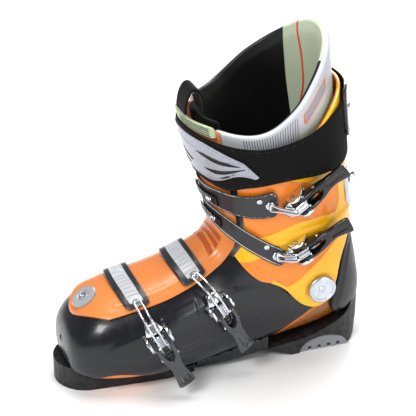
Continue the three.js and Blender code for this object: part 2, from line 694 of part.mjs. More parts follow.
// ---- Bands over the front: two ladders on the shell and two strap plates on the cuff.
// Each row: centre line t at the front, how far it has risen at 80 degrees, half width in t at
// the front and at the side, medial and lateral ends, and what carries it.
const BANDS = [
  { name: "ladder_toe", t: 3.05, rise: 0.7, half: 0.33, wide: 0.3, from: -74, to: 43, host: "shell" },
  { name: "ladder_instep", t: 4.72, rise: 0.95, half: 0.4, wide: 0.45, from: -74, to: 43, host: "shell" },
  { name: "plate_lower", t: 8.6, rise: 0.95, half: 0.95, wide: 0.62, from: -94, to: 79, host: "cuff" },
  { name: "plate_upper", t: 10.45, rise: 2.1, half: 0.75, wide: 0.6, from: -84, to: 79, host: "cuff" },
];
const bandCentre = (band, angle) => band.t + band.rise * (angle / 80) ** 2;
const bandHalf = (band, angle) => mix(band.half, band.wide, smoothStep(20, 80, Math.abs(angle)));
// How far a band has stepped from over the tongue onto its host, by angle.
function bandOffset(band, angle, extra) {
  const turned = angle > 180 ? angle - 360 : angle;
  if (band.host === "shell") {
    const step = smoothStep(-50, -62, turned);
    return mix(bandIn, FIT, turned < 0 ? step : 0) + extra;
  }
  return mix(bandIn, overCuffIn, smoothStep(36, 47, Math.abs(turned))) + extra;
}
function bandSolid(band) {
  const [low, high] = [Math.floor(band.t - 1.5), Math.ceil(bandCentre(band, 100) + 1.5)];
  const made = layer(
    low, high,
    (t, angle) => bandOffset(band, angle, 0),
    (t, angle) => bandOffset(band, angle, STRAP_WALL),
  );
  const patch = slab((u, v) => {
    const angle = mix(band.from, band.to, v);
    return [bandCentre(band, angle) + mix(-1, 1, u) * bandHalf(band, angle), angle];
  }, -6, 30, 2, 14);
  return made.intersect(patch);
}

// ---- Buckles. Each row: its band, the place of its pin, the place that its lever points away
// from, the angle where the bail hooks the band, and how far the base reaches under the lever.
const BUCKLES = [
  { name: "toe", band: 0, pin: [3.7, 80], aim: [3.25, 38], hook: 38.5, tail: 26 },
  { name: "instep", band: 1, pin: [5.62, 78], aim: [5, 38], hook: 38.5, tail: 26 },
  { name: "lower_cuff", band: 2, pin: [10.5, 89], aim: [7.7, 71], hook: 73, tail: 26 },
  { name: "upper_cuff", band: 3, pin: [12.8, 94], aim: [10.7, 64], hook: 73, tail: 14 },
];
const hostOut = (band) => (band.host === "shell" ? 0 : cuffOut);

function leverSolid() {
  const profile = new THREE.Shape();
  profile.moveTo(5.4, PIN_HEIGHT);
  profile.absarc(0, PIN_HEIGHT, 5.4, 0, -Math.PI * 0.62, true);
  profile.lineTo(-10, 4.6);
  profile.lineTo(-30, 4.6);
  profile.lineTo(-LEVER_LENGTH + 8, 5.6);
  profile.lineTo(-LEVER_LENGTH, 8.5);
  profile.lineTo(-LEVER_LENGTH + 1, 11.5);
  profile.lineTo(-LEVER_LENGTH + 10, 11);
  profile.lineTo(-34, 11.4);
  profile.lineTo(-20, 14.6);
  profile.absarc(-BAIL_EYE_BACK, BAIL_EYE_HEIGHT, 4, Math.PI * 0.6, Math.PI * 0.25, true);
  const body = crosswise(profile, LEVER_HALF_WIDTH);
  const slot = box(-28, 9, -FORK_HALF_WIDTH, FORK_HALF_WIDTH, -5, 30);
  return body.subtract(slot).subtract(crossHole(0, PIN_HEIGHT, PIN_RADIUS + PIN_PLAY))
    .subtract(crossHole(-BAIL_EYE_BACK, BAIL_EYE_HEIGHT, BAIL_RADIUS + PIN_PLAY));
}

// A profile in the buckle's X and Z, extruded to both sides of its middle.
function crosswise(shape, half) {
  const geometry = new THREE.ExtrudeGeometry(shape, {
    depth: half * 2, bevelEnabled: false, curveSegments: 5,
  });
  geometry.translate(0, 0, -half);
  geometry.rotateX(Math.PI / 2);
  return toSolid(geometry);
}
function crossHole(x, z, radius, half = 20) {
  return rod(new THREE.Vector3(x, -half, z), new THREE.Vector3(x, half, z), radius, 8);
}

function baseSolid(frame, cover, tail) {
  const cheek = new THREE.Shape();
  cheek.moveTo(-13, -4);
  cheek.lineTo(-13, BASE_THICKNESS + 1);
  cheek.lineTo(-7, PIN_HEIGHT + 6);
  cheek.absarc(0, PIN_HEIGHT, 7.4, Math.PI * 0.7, -Math.PI * 0.25, true);
  cheek.lineTo(5, -4);
  const outer = LEVER_HALF_WIDTH + CHEEK_GAP + CHEEK_THICKNESS;
  const inner = LEVER_HALF_WIDTH + CHEEK_GAP;
  const cheeks = crosswise(cheek, outer).subtract(box(-40, 40, -inner, inner, BASE_THICKNESS, 40));
  const plate = box(-13, 8, -outer, outer, -5, BASE_THICKNESS)
    .add(box(-tail, -12, 4 - inner, inner - 4, -5, BASE_THICKNESS));
  // The lever's nose swings past here, so the plate is hollowed round the pin.
  const swing = crossHole(0, PIN_HEIGHT, 6.6, inner);
  const local = plate.add(cheeks).subtract(swing)
    .subtract(crossHole(0, PIN_HEIGHT, PIN_RADIUS + PIN_PLAY));
  return placed(local, frame).subtract(cover);
}

// The bail is a wire loop: its two ends turn out into the lever's eyes and its bar hooks the band.
function bailSolid(frame, hookFrame, lift) {
  const inverse = frame.clone().invert();
  const local = new THREE.Vector3(0, 0, lift).applyMatrix4(hookFrame).applyMatrix4(inverse);
  const across = new THREE.Vector3().setFromMatrixColumn(hookFrame, 1).transformDirection(inverse);
  if (across.y < 0) across.negate();
  const eye = [-BAIL_EYE_BACK, BAIL_EYE_HEIGHT];
  const knee = [7, BAIL_EYE_HEIGHT];
  const w = BAIL_HALF_WIDTH;
  const end = LEVER_HALF_WIDTH - 0.6;
  const bulge = Math.max(0, (local.x - 20) * 0.35);
  const route = (side) => [
    [eye[0], side * end, eye[1]], [eye[0], side * (w + 1.2), eye[1]],
    [eye[0] + 1.4, side * w, eye[1]], [knee[0] - 2, side * w, knee[1]],
    [knee[0] + 1, side * w, knee[1] - 0.6],
    [mix(knee[0], local.x, 0.55), local.y * 0.55 + side * w, mix(knee[1], local.z, 0.55) + bulge],
    [mix(knee[0], local.x, 0.94), local.y * 0.94, mix(knee[1], local.z, 0.85)]
      .map((value, k) => value + side * w * across.getComponent(k)),
    local.clone().addScaledVector(across, side * (w - 1.2)).toArray(),
  ];
  const points = route(1).concat(route(-1).reverse()).map((p) => new THREE.Vector3(...p));
  const path = new THREE.CatmullRomCurve3(points, false, "catmullrom", 0.25);
  const wire = new THREE.Shape();
  for (let k = 0; k < 6; k += 1) {
    const a = radians(60 * k);
    const [x, y] = [BAIL_RADIUS * Math.cos(a), BAIL_RADIUS * Math.sin(a)];
    if (k === 0) wire.moveTo(x, y);
    else wire.lineTo(x, y);
  }
  const geometry = new THREE.ExtrudeGeometry(wire, {
    steps: 22, extrudePath: path, bevelEnabled: false,
  });
  return toSolid(geometry.applyMatrix4(frame));
}

// A hinge line across a buckle, kept with the mesh that turns about it.
function hingeLine(frame, x, z) {
  const axis = new THREE.Vector3().setFromMatrixColumn(frame, 1);
  return { point: new THREE.Vector3(x, 0, z).applyMatrix4(frame), axis };
}

const bandSolids = BANDS.map(bandSolid);
for (const spec of BUCKLES) {
  const band = BANDS[spec.band];
  const cover = band.host === "shell" ? shellCover : cuffCover;
  const hookT = bandCentre(band, spec.hook);
  const frame = fittingFrame(...spec.pin, hostOut(band) + SOLE_GAP, ...spec.aim);
  const bandTop = bandOffset(band, spec.hook, STRAP_WALL);
  const hookFrame = fittingFrame(hookT, spec.hook, bandTop, ...spec.pin);
  add("buckle_" + spec.name + "_base", baseSolid(frame, cover, spec.tail), "chrome");
  const lever = add("buckle_" + spec.name + "_lever", placed(leverSolid(), frame), "black");
  lever.userData.hinge = hingeLine(frame, 0, PIN_HEIGHT);
  const pinHalf = LEVER_HALF_WIDTH + CHEEK_GAP + CHEEK_THICKNESS;
  const pin = crossHole(0, PIN_HEIGHT, PIN_RADIUS, pinHalf);
  add("buckle_" + spec.name + "_pin", placed(pin, frame), "chrome");
  const bail = add(
    "buckle_" + spec.name + "_bail", bailSolid(frame, hookFrame, BAIL_RADIUS + BAIL_CLEARANCE), "chrome",
  );
  bail.userData.hinge = hingeLine(frame, -BAIL_EYE_BACK, BAIL_EYE_HEIGHT);

  // The tooth that the bail's bar pulls against, between the wires.
  const tooth = box(BAIL_RADIUS + 0.5, BAIL_RADIUS + 3, -1.6, 1.6, -1.5, 1.6);
  bandSolids[spec.band] = bandSolids[spec.band].add(placed(tooth, hookFrame));
}
BANDS.forEach((band, k) => {
  add(band.name, bandSolids[k], "grey");
  const from = band.from + 9;
  const outside = bandOffset(band, from, STRAP_WALL);
  const rivetFrame = fittingFrame(bandCentre(band, from), from, outside, bandCentre(band, 0), 0);
  const low = Math.floor(band.t - 1.5);
  const high = Math.ceil(bandCentre(band, 100) + 1.5);
  const cover = loft(low, high, (t, angle) => bandOffset(band, angle, STRAP_WALL + SOLE_GAP));
  add(band.name + "_rivet", disc(rivetFrame, RIVET_RADIUS, -3, 2, 10).subtract(cover), "chrome");
});

// ---- Toothed blocks on the front of the two strap plates, with their screws.
for (const [name, k, from, to, screw] of [["upper", 3, -22, 29, 20], ["lower", 2, -18, 29, 20]]) {
  const band = BANDS[k];
  const blockIn = bandOut + SOLE_GAP;
  const blockOut = blockIn + 3.4;
  const patch = slab((u, v) => {
    const angle = mix(from, to, v);
    return [bandCentre(band, angle) + mix(-0.75, 0.1, u) * band.half, angle];
  }, 0, 30, 2, 5);
  const low = Math.floor(band.t - 1);
  const made = layer(low, low + 4, blockIn, blockOut).intersect(patch);
  add("ratchet_block_" + name, made, "black");
  const screwT = bandCentre(band, screw) - 0.33 * band.half;
  const frame = fittingFrame(screwT, screw, blockOut, screwT + 1, screw);
  const cover = loft(low, low + 4, blockOut + SOLE_GAP);
  add("ratchet_screw_" + name, disc(frame, 3.4, -2, 2, 10).subtract(cover), "chrome");
}

// The part's origin is on the floor, under the middle of its box.
const whole = new THREE.Box3().setFromObject(group);
group.position.set(-(whole.min.x + whole.max.x) / 2, -(whole.min.y + whole.max.y) / 2, -whole.min.z);

export default group;
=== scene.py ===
"""A left alpine ski boot with a three-piece shell, four buckles, a power strap and a liner.

The boot's surface is one function of a section number t, from the toe up the leg, and an angle
round the section, 0 at the front, 90 on the outer side and 180 at the sole or the back. Sections
and outlines are in millimetres in the frame that the boot was drawn in; place() takes a point
from there to the part's frame in metres.
"""

import math

import bmesh
import bpy
import numpy as np
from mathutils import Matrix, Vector


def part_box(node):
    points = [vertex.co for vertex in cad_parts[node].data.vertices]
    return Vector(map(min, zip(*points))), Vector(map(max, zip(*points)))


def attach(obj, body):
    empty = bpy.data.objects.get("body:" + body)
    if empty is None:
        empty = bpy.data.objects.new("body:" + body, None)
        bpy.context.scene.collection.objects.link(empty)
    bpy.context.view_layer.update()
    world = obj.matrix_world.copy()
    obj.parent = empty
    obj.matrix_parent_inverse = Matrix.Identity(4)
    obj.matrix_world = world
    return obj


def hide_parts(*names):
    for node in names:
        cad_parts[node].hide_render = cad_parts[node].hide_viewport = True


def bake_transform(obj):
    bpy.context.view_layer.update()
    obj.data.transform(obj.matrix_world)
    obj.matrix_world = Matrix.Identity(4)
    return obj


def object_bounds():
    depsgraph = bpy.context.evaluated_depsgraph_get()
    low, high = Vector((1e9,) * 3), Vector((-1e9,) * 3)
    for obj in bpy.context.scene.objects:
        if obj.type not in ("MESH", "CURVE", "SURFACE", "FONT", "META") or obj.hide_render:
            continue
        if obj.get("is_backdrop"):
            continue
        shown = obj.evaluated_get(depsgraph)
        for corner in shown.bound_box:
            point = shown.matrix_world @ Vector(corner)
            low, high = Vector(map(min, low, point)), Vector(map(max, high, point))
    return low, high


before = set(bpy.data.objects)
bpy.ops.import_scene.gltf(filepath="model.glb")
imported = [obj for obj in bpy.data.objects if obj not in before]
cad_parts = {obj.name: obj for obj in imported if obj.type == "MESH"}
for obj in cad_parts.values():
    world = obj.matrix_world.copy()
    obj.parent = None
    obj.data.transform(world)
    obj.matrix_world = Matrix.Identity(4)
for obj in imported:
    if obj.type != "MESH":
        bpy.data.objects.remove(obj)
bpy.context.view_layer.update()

MM = 0.001
DRAWN_TOE_Y = -155.0

# Walls and layers, as offsets from the outside of the lower shell.
SHELL_WALL = 4.5
FIT = 0.6
TONGUE_IN, TONGUE_OUT = 0.6, 4.2
CUFF_IN, CUFF_OUT = 3.3, 7.2
STRAP_WALL = 3.0
BAND_IN = TONGUE_OUT + FIT
OVER_CUFF_IN = CUFF_OUT + FIT
LINER_OUT = -5.1
LINER_WALL = 7.5
SOLE_GAP = 0.4
PIVOT = (112.0, 84.0)

SECTIONS = np.array(
    [
        [-155, 46, -155, 46, 0, -6, 2.2, 2.4],
        [-150, 68, -152, 20, 34, -5, 2.2, 2.6],
        [-128, 89, -136, 12, 50, -3, 2.3, 3.2],
        [-93, 101, -101, 9, 56, -1, 2.2, 3.8],
        [-56, 112, -63, 9, 56, 2, 2.1, 3.8],
        [-22, 125, -23, 9, 51, 1, 2.1, 3.6],
        [-1, 138, 22, 12, 45, 0, 2.1, 3.4],
        [6, 150, 70, 17, 43, 0, 2.1, 3.2],
        [8, 161, 125, 24, 42, 0, 2.2, 2.8],
        [7, 172, 160, 36, 42, 0, 2.3, 2.4],
        [5, 184, 168, 62, 43, 0, 2.3, 2.3],
        [2, 199, 163, 97, 44, 0, 2.3, 2.3],
        [-2, 216, 155, 133, 47, 0, 2.3, 2.3],
        [-7, 235, 149, 170, 51, 0, 2.2, 2.2],
        [-13, 257, 143, 208, 55, 0, 2.2, 2.2],
        [-18, 278, 138, 246, 58, 0, 2.2, 2.2],
        [-21, 296, 133, 284, 60, 0, 2.2, 2.2],
        [-23, 316, 129, 322, 60, 0, 2.2, 2.2],
        [-25, 336, 125, 358, 58, 0, 2.2, 2.2],
        [-27, 356, 120, 394, 54, 0, 2.2, 2.2],
    ],
    float,
)

shift = Vector(
    (
        (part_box("pivot_lateral")[1].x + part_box("pivot_medial")[0].x) / 2,
        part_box("lower_shell")[0].y - DRAWN_TOE_Y * MM,
        0,
    )
)


# ---- The boot's surface.
def mix(a, b, f):
    return a + (b - a) * f


def smooth(low, high, value):
    f = np.clip((np.asarray(value, float) - low) / (high - low), 0, 1)
    return f * f * (3 - 2 * f)


def curve(a, b, c, d, f):
    """The point at share f of the smooth curve from b to c, whose neighbours are a and d."""
    square = (2 * a - 5 * b + 4 * c - d) * f**2
    cube = (3 * b - a - 3 * c + d) * f**3
    return 0.5 * (2 * b + (c - a) * f + square + cube)


def section(t):
    """The eight numbers of SECTIONS at each t."""
    last = len(SECTIONS) - 1
    i = np.clip(np.floor(t), 0, last - 1).astype(int)
    f = (t - i)[:, None]
    b, c = SECTIONS[i], SECTIONS[i + 1]
    a = np.where((i > 0)[:, None], SECTIONS[np.maximum(i - 1, 0)], 2 * b - c)
    d = np.where((i + 2 <= last)[:, None], SECTIONS[np.minimum(i + 2, last)], 2 * c - b)
    return curve(a, b, c, d, f)


def skin(t, angle, offset=0.0):
    """Points of the surface at sections t and angles, moved out by offset, in drawn millimetres."""
    t, angle, offset = np.broadcast_arrays(
        np.asarray(t, float), np.asarray(angle, float), np.asarray(offset, float)
    )
    shape = t.shape
    t, angle, offset = t.ravel(), angle.ravel(), offset.ravel()
    fy, fz, ry, rz, half, centre, front_power, rear_power = section(t).T
    reach = np.hypot(fy - ry, fz - rz) / 2
    flat = reach < 1e-6
    ux = np.where(flat, 0, (fy - ry) / np.where(flat, 1, 2 * reach))
    uz = np.where(flat, 1, (fz - rz) / np.where(flat, 1, 2 * reach))
    c, s = np.cos(np.radians(angle)), np.sin(np.radians(angle))
    power = np.where(c > 0, front_power, rear_power)
    k = (np.abs(c) ** power + np.abs(s) ** power) ** (-1 / power)
    out = (reach + offset) * c * k
    x = centre + (half + offset) * s * k
    y = (fy + ry) / 2 + ux * out
    z = (fz + rz) / 2 + uz * out
    return np.stack([x, y, z], -1).reshape(*shape, 3)


def place(points):
    """Drawn millimetres to metres in the part's frame."""
    return np.asarray(points, float) * MM + np.array(shift)


def per_t(t, a):
    """Millimetres on the surface for one section."""
    return np.linalg.norm(skin(t + 0.02, a) - skin(t - 0.02, a), axis=-1) / 0.04


def per_a(t, a):
    """Millimetres on the surface for one degree."""
    return np.linalg.norm(skin(t, a + 0.5) - skin(t, a - 0.5), axis=-1)


def signed(a):
    """An angle as -180 to 180."""
    return (np.asarray(a, float) + 180) % 360 - 180


def positive(a):
    """An angle as 0 to 360."""
    return np.asarray(a, float) % 360


def through(matrix, points):
    """Points taken through a 4 by 4 matrix."""
    turn = np.array(matrix)
    return np.array(points) @ turn[:3, :3].T + turn[:3, 3]


def knots(rows, a):
    """A smooth curve through rows of (angle, value)."""
    x = np.array([r[0] for r in rows], float)
    y = np.array([r[1] for r in rows], float)
    a = np.clip(a, x[0], x[-1])
    i = np.clip(np.searchsorted(x, a, side="right") - 1, 0, len(x) - 2)
    slope = np.zeros(len(x))
    slope[1:-1] = (y[2:] - y[:-2]) / (x[2:] - x[:-2])
    span = x[i + 1] - x[i]
    f = (a - x[i]) / span
    leaving = span * slope[i] * f * (1 - f) ** 2
    arriving = span * slope[i + 1] * f**2 * (1 - f)
    return mix(y[i], y[i + 1], f * f * (3 - 2 * f)) + leaving - arriving


def rounded(points, closed=True, steps=5):
    """A smooth curve through the points, closed or open."""
    p = np.array(points, float)
    n = len(p)
    made = []
    for i in range(n if closed else n - 1):
        if closed:
            a, b, c, d = (p[(i + k) % n] for k in (-1, 0, 1, 2))
        else:
            a, b, c, d = (p[min(max(i + k, 0), n - 1)] for k in (-1, 0, 1, 2))
        made += [curve(a, b, c, d, f) for f in np.arange(steps) / steps]
    if not closed:
        made.append(p[-1])
    return np.array(made)


def inside(outline, x, y):
    """Distance to a closed outline, positive inside it."""
    x, y = np.asarray(x, float), np.asarray(y, float)
    best = np.full(x.shape, 1e9)
    odd = np.zeros(x.shape, bool)
    for (x0, y0), (x1, y1) in zip(outline, np.roll(outline, -1, axis=0)):
        dx, dy = x1 - x0, y1 - y0
        f = np.clip(((x - x0) * dx + (y - y0) * dy) / max(dx * dx + dy * dy, 1e-12), 0, 1)
        best = np.minimum(best, np.hypot(x - x0 - f * dx, y - y0 - f * dy))
        if y0 != y1:
            crossing = (y0 > y) != (y1 > y)
            odd ^= crossing & (x < (x1 - x0) * (y - y0) / (y1 - y0) + x0)
    return np.where(odd, best, -best)


def side_field(outline, smooth_it=True):
    """A field over the surface that is positive inside an outline of the side view."""
    line = rounded(outline) if smooth_it else np.array(outline, float)

    def field(t, a):
        p = skin(t, a)
        return inside(line, p[..., 1], p[..., 2])

    return field


# ---- Cutting a patch of the surface along the contours of its fields.
SNAP = 0.22  # the share of an edge within which its end moves onto a contour
WELD = 2e-3  # millimetres within which points count as one
locked = []  # one flag a point: whether it has to stay where it is


def cut(points, polys, field, level, drop):
    """Splits the polygons where field crosses level, and drops what lies below if drop is set."""
    g = field(points[:, 0], points[:, 1]) - level
    g[np.abs(g) < 1e-7] = 0
    size = max(len(p) for p in polys)
    table = np.full((len(polys), size), -1)
    for i, p in enumerate(polys):
        table[i, : len(p)] = p
    values = np.where(table >= 0, g[table], np.nan)
    low, high = np.nanmin(values, 1), np.nanmax(values, 1)
    mixed = np.nonzero((low < 0) & (high > 0))[0]
    # Vertices very near the contour are moved onto it, so that no thin slivers are left.
    moves = {}
    for i in mixed:
        p = polys[i]
        for k, v in enumerate(p):
            w = p[(k + 1) % len(p)]
            if g[v] * g[w] >= 0:
                continue
            f = g[v] / (g[v] - g[w])
            if f < SNAP and not locked[v]:
                if v not in moves or f < moves[v][0]:
                    moves[v] = (f, w)
            elif f > 1 - SNAP and not locked[w]:
                if w not in moves or 1 - f < moves[w][0]:
                    moves[w] = (1 - f, v)
    moved = {v: points[v] + (points[w] - points[v]) * f for v, (f, w) in moves.items()}
    for v, spot in moved.items():
        points[v] = spot
        g[v] = 0
        locked[v] = True
    made, extra, new_polys = {}, [], []
    first = len(points)
    keep_all = set(mixed.tolist())
    for i, p in enumerate(polys):
        if i not in keep_all:
            if not drop or high[i] > 0 or (high[i] == 0 and low[i] == 0):
                new_polys.append(p)
            continue
        above, below = [], []
        for k, v in enumerate(p):
            w = p[(k + 1) % len(p)]
            if g[v] >= 0:
                above.append(v)
            if g[v] <= 0:
                below.append(v)
            if g[v] * g[w] < 0:
                key = (min(v, w), max(v, w))
                if key not in made:
                    f = g[v] / (g[v] - g[w])
                    extra.append(points[v] + (points[w] - points[v]) * f)
                    made[key] = first + len(extra) - 1
                above.append(made[key])
                below.append(made[key])
        if len(above) > 2 and max(g[v] if v < first else 0 for v in above) > 0:
            new_polys.append(above)
        if not drop and len(below) > 2 and min(g[v] if v < first else 0 for v in below) < 0:
            new_polys.append(below)
    if extra:
        points = np.vstack([points, extra])
        locked.extend([True] * len(extra))
    return points, new_polys


def cut_patch(t_range, a_range, steps, field, cuts):
    """A grid over the surface, cut along field's zero contour and split along the other cuts."""
    rows = max(2, int(round((t_range[1] - t_range[0]) / steps[0])))
    columns = max(3, int(round((a_range[1] - a_range[0]) / steps[1])))
    t = np.linspace(*t_range, rows + 1)
    a = np.linspace(*a_range, columns + 1)
    grid_t, grid_a = np.meshgrid(t, a, indexing="ij")
    points = np.stack([grid_t.ravel(), grid_a.ravel()], 1)
    locked.clear()
    edge = np.zeros(grid_t.shape, bool)
    edge[0] = edge[-1] = True
    edge[:, 0] = edge[:, -1] = True
    locked.extend(edge.ravel().tolist())
    polys = []
    for i in range(rows):
        for j in range(columns):
            k = i * (columns + 1) + j
            polys.append([k, k + 1, k + columns + 2, k + columns + 1])
    points, polys = cut(points, polys, field, 0, True)
    for other, level in cuts:
        points, polys = cut(points, polys, other, level, False)
    used = np.unique(np.concatenate([np.array(p) for p in polys]))
    renumber = np.full(len(points), -1)
    renumber[used] = np.arange(len(used))
    return points[used], [[int(renumber[v]) for v in p] for p in polys]


def rim_drop(d, radius):
    """How far an edge of that radius has fallen at distance d from it."""
    d = np.clip(d, 0, radius)
    return radius - np.sqrt(np.maximum(radius**2 - (radius - d) ** 2, 0))


def make_mesh(name, points, faces):
    mesh = bpy.data.meshes.new(name)
    mesh.from_pydata([tuple(p) for p in points], [], faces)
    mesh.validate()
    mesh.update()
    obj = bpy.data.objects.new(name, mesh)
    bpy.context.scene.collection.objects.link(obj)
    return obj


def smooth_shade(obj, degrees=50):
    obj.data.shade_smooth()
    obj.data.set_sharp_from_angle(angle=math.radians(degrees))


def skin_piece(
    name, t_range, a_range, steps, field, inner, outer, radius, features=(), zones=None,
    bend=None, end_caps=False, sharp=50, surface=None, matrix=None,
):
    """A solid that follows the surface between two offsets, cut to field, with rounded rims.

    features are (field, width, height): the outside rises by height where that field is above
    width. zones are named fields kept on the vertices for the materials. bend(points, outside)
    moves the finished points. surface and matrix stand in for the boot's own surface in the
    fittings. end_caps closes the hole that a surface leaves where it starts.
    """
    cuts = [(field, radius * 0.3), (field, radius)]
    for fn, width, height in features:
        cuts += [(fn, 0), (fn, width)]
    points, polys = cut_patch(t_range, a_range, steps, field, cuts)
    t, a = points[:, 0], points[:, 1]
    high = np.broadcast_to(outer(t, a) if callable(outer) else outer, t.shape).astype(float)
    low = np.broadcast_to(inner(t, a) if callable(inner) else inner, t.shape).astype(float)
    for fn, width, height in features:
        high = high + height * smooth(0, width, fn(t, a))
    d = field(t, a)
    high = high - rim_drop(d, radius)
    low = low + rim_drop(d, radius * 0.5)
    onto = surface or skin
    top, bottom = onto(t, a, high), onto(t, a, low)
    if bend is not None:
        top, bottom = bend(top, True), bend(bottom, False)
    keys = np.round(onto(t, a, 0.0) / WELD).astype(np.int64)
    _, first, same = np.unique(keys, axis=0, return_index=True, return_inverse=True)
    same = same.ravel()
    count = len(first)
    coords = np.vstack([top[first], bottom[first]])
    coords = place(coords if matrix is None else through(matrix, coords))
    faces, corner_points, seen = [], [], {}
    for p in polys:
        welded = [int(same[v]) for v in p]
        keep = [k for k in range(len(p)) if welded[k] != welded[k - 1]]
        if len(keep) < 3:
            continue
        q = [welded[k] for k in keep]
        source = [p[k] for k in keep]
        faces.append(q)
        corner_points.append(source)
        faces.append([v + count for v in reversed(q)])
        corner_points.append(source[::-1])
        for k in range(len(q)):
            pair = (q[k], q[(k + 1) % len(q)])
            seen[pair] = (source[k], source[(k + 1) % len(q)])
    rims = [(pair, source) for pair, source in seen.items() if (pair[1], pair[0]) not in seen]
    if end_caps:
        ring = set(v for pair, _ in rims for v in pair if t[first[v]] < t_range[0] + 1e-6)
        middle = np.mean([coords[v] for v in ring], axis=0)
        under = np.mean([coords[v + count] for v in ring], axis=0)
        coords = np.vstack([coords, middle, under])
    for (v, w), source in rims:
        if end_caps and v in ring and w in ring:
            faces.append([w, v, 2 * count])
            faces.append([v + count, w + count, 2 * count + 1])
            corner_points.append([source[1], source[0], source[0]])
            corner_points.append([source[0], source[1], source[1]])
        else:
            faces.append([w, v, v + count, w + count])
            corner_points.append([source[1], source[0], source[0], source[1]])
    obj = make_mesh(name, coords, faces)
    mesh = obj.data
    if len(mesh.polygons) == len(faces):
        layer = mesh.uv_layers.new(name="UVMap")
        flat = np.concatenate([np.array(c) for c in corner_points])
        if surface is None:
            across, lengthwise = per_t(t, a) * (t - t_range[0]), arc(t, a)
        else:
            across, lengthwise = a, t
        uv = np.stack([lengthwise[flat], across[flat]], 1) * MM
        layer.data.foreach_set("uv", uv.astype(np.float32).ravel())
    for key, fn in (zones or {}).items():
        values = fn(t, a)[first]
        values = np.concatenate([values, values])
        if end_caps:
            values = np.append(values, [values[0], values[0]])
        attribute = mesh.attributes.new(key, "FLOAT", "POINT")
        attribute.data.foreach_set("value", values.astype(np.float32))
    flag = mesh.attributes.new("lining", "FLOAT", "POINT")
    side = np.concatenate([np.zeros(count), np.ones(len(mesh.vertices) - count)])
    flag.data.foreach_set("value", side.astype(np.float32))
    turn_outwards(obj)
    smooth_shade(obj, sharp)
    return obj


def turn_outwards(obj):
    """Turns all the faces if the closed mesh's volume is negative."""
    made = bmesh.new()
    made.from_mesh(obj.data)
    if made.calc_volume(signed=True) < 0:
        bmesh.ops.reverse_faces(made, faces=made.faces[:])
    made.to_mesh(obj.data)
    made.free()


def arc(t, a):
    """Millimetres round the section from its front, along the surface."""
    steps = np.radians(np.arange(-180, 541, 6.0))
    row = np.round(t * 4) / 4
    made = np.zeros(len(t))
    for value in np.unique(row):
        p = skin(value, np.degrees(steps))
        length = np.concatenate([[0], np.cumsum(np.linalg.norm(np.diff(p, axis=0), axis=1))])
        here = row == value
        zero = np.interp(0, np.degrees(steps), length)
        made[here] = np.interp(a[here], np.degrees(steps), length) - zero
    return made


# ---- Materials.
def linear(colour):
    """A screen colour 0-255 as linear light."""
    made = []
    for c in colour:
        c = c / 255
        made.append(c / 12.92 if c <= 0.04045 else ((c + 0.055) / 1.055) ** 2.4)
    return (*made, 1)


class Look:
    """A Principled material with a chain of colour layers and a chain of bumps."""

    def __init__(self, name, colour, roughness, **constants):
        self.material = bpy.data.materials.new(name)
        self.material.use_nodes = True
        self.tree = self.material.node_tree
        self.shader = self.tree.nodes["Principled BSDF"]
        self.shader.inputs["Base Color"].default_value = linear(colour)
        self.shader.inputs["Roughness"].default_value = roughness
        for key, value in constants.items():
            self.shader.inputs[key.replace("_", " ")].default_value = value
        self.colour = linear(colour)
        self.normal = None

    def node(self, kind, **inputs):
        """A new node, its inputs fed by name."""
        made = self.tree.nodes.new("ShaderNode" + kind)
        for key, value in inputs.items():
            self.feed(made.inputs[key.replace("_", " ")], value)
        return made

    def feed(self, socket, value):
        if isinstance(value, bpy.types.NodeSocket):
            self.tree.links.new(value, socket)
        else:
            socket.default_value = value

    def math(self, operation, a, b=0.0, clamp=False):
        made = self.tree.nodes.new("ShaderNodeMath")
        made.operation = operation
        made.use_clamp = clamp
        self.feed(made.inputs[0], a)
        self.feed(made.inputs[1], b)
        return made.outputs[0]

    def place(self, scale=(1, 1, 1)):
        """The object's own coordinates in metres, scaled."""
        where = self.node("TexCoord").outputs["Object"]
        return self.node("Mapping", Vector=where, Scale=scale).outputs[0]

    def flat_place(self):
        """U and V in metres along the surface."""
        where = self.node("UVMap")
        where.uv_map = "UVMap"
        split = self.node("SeparateXYZ", Vector=where.outputs[0])
        return split.outputs["X"], split.outputs["Y"]

    def noise(self, scale, detail=3.0, stretch=(1, 1, 1), rough=0.55):
        made = self.node(
            "TexNoise", Vector=self.place(stretch), Scale=scale, Detail=detail, Roughness=rough
        )
        return made.outputs[0]

    def field(self, name):
        """A field that skin_piece kept on the vertices."""
        made = self.node("Attribute")
        made.attribute_name = name
        return made.outputs["Fac"]

    def ramp(self, value, low, high, to_low=0.0, to_high=1.0):
        made = self.node("MapRange", Value=value)
        made.inputs["From Min"].default_value = low
        made.inputs["From Max"].default_value = high
        made.inputs["To Min"].default_value = to_low
        made.inputs["To Max"].default_value = to_high
        return made.outputs[0]

    def blend(self, kind, factor, over):
        made = self.tree.nodes.new("ShaderNodeMix")
        made.data_type = "RGBA"
        made.blend_type = kind
        for index, value in ((0, factor), (6, self.colour), (7, over)):
            self.feed(made.inputs[index], value)
        self.colour = made.outputs[2]
        self.tree.links.new(self.colour, self.shader.inputs["Base Color"])

    def layer(self, factor, colour):
        """Puts a colour over what is there, where factor is 1."""
        self.blend("MIX", factor, linear(colour))

    def vary(self, value, low, high):
        """Multiplies the colour by low to high along value."""
        shade = self.ramp(value, 0.3, 0.7, low, high)
        grey = self.node("CombineColor", Red=shade, Green=shade, Blue=shade)
        self.blend("MULTIPLY", 1.0, grey.outputs[0])

    def rough(self, value, low, high):
        self.tree.links.new(self.ramp(value, 0.3, 0.7, low, high), self.shader.inputs["Roughness"])

    def bump(self, height, distance, strength=1.0):
        made = self.node("Bump", Height=height, Strength=strength, Distance=distance)
        if self.normal is not None:
            self.tree.links.new(self.normal, made.inputs["Normal"])
        self.normal = made.outputs[0]
        self.tree.links.new(self.normal, self.shader.inputs["Normal"])


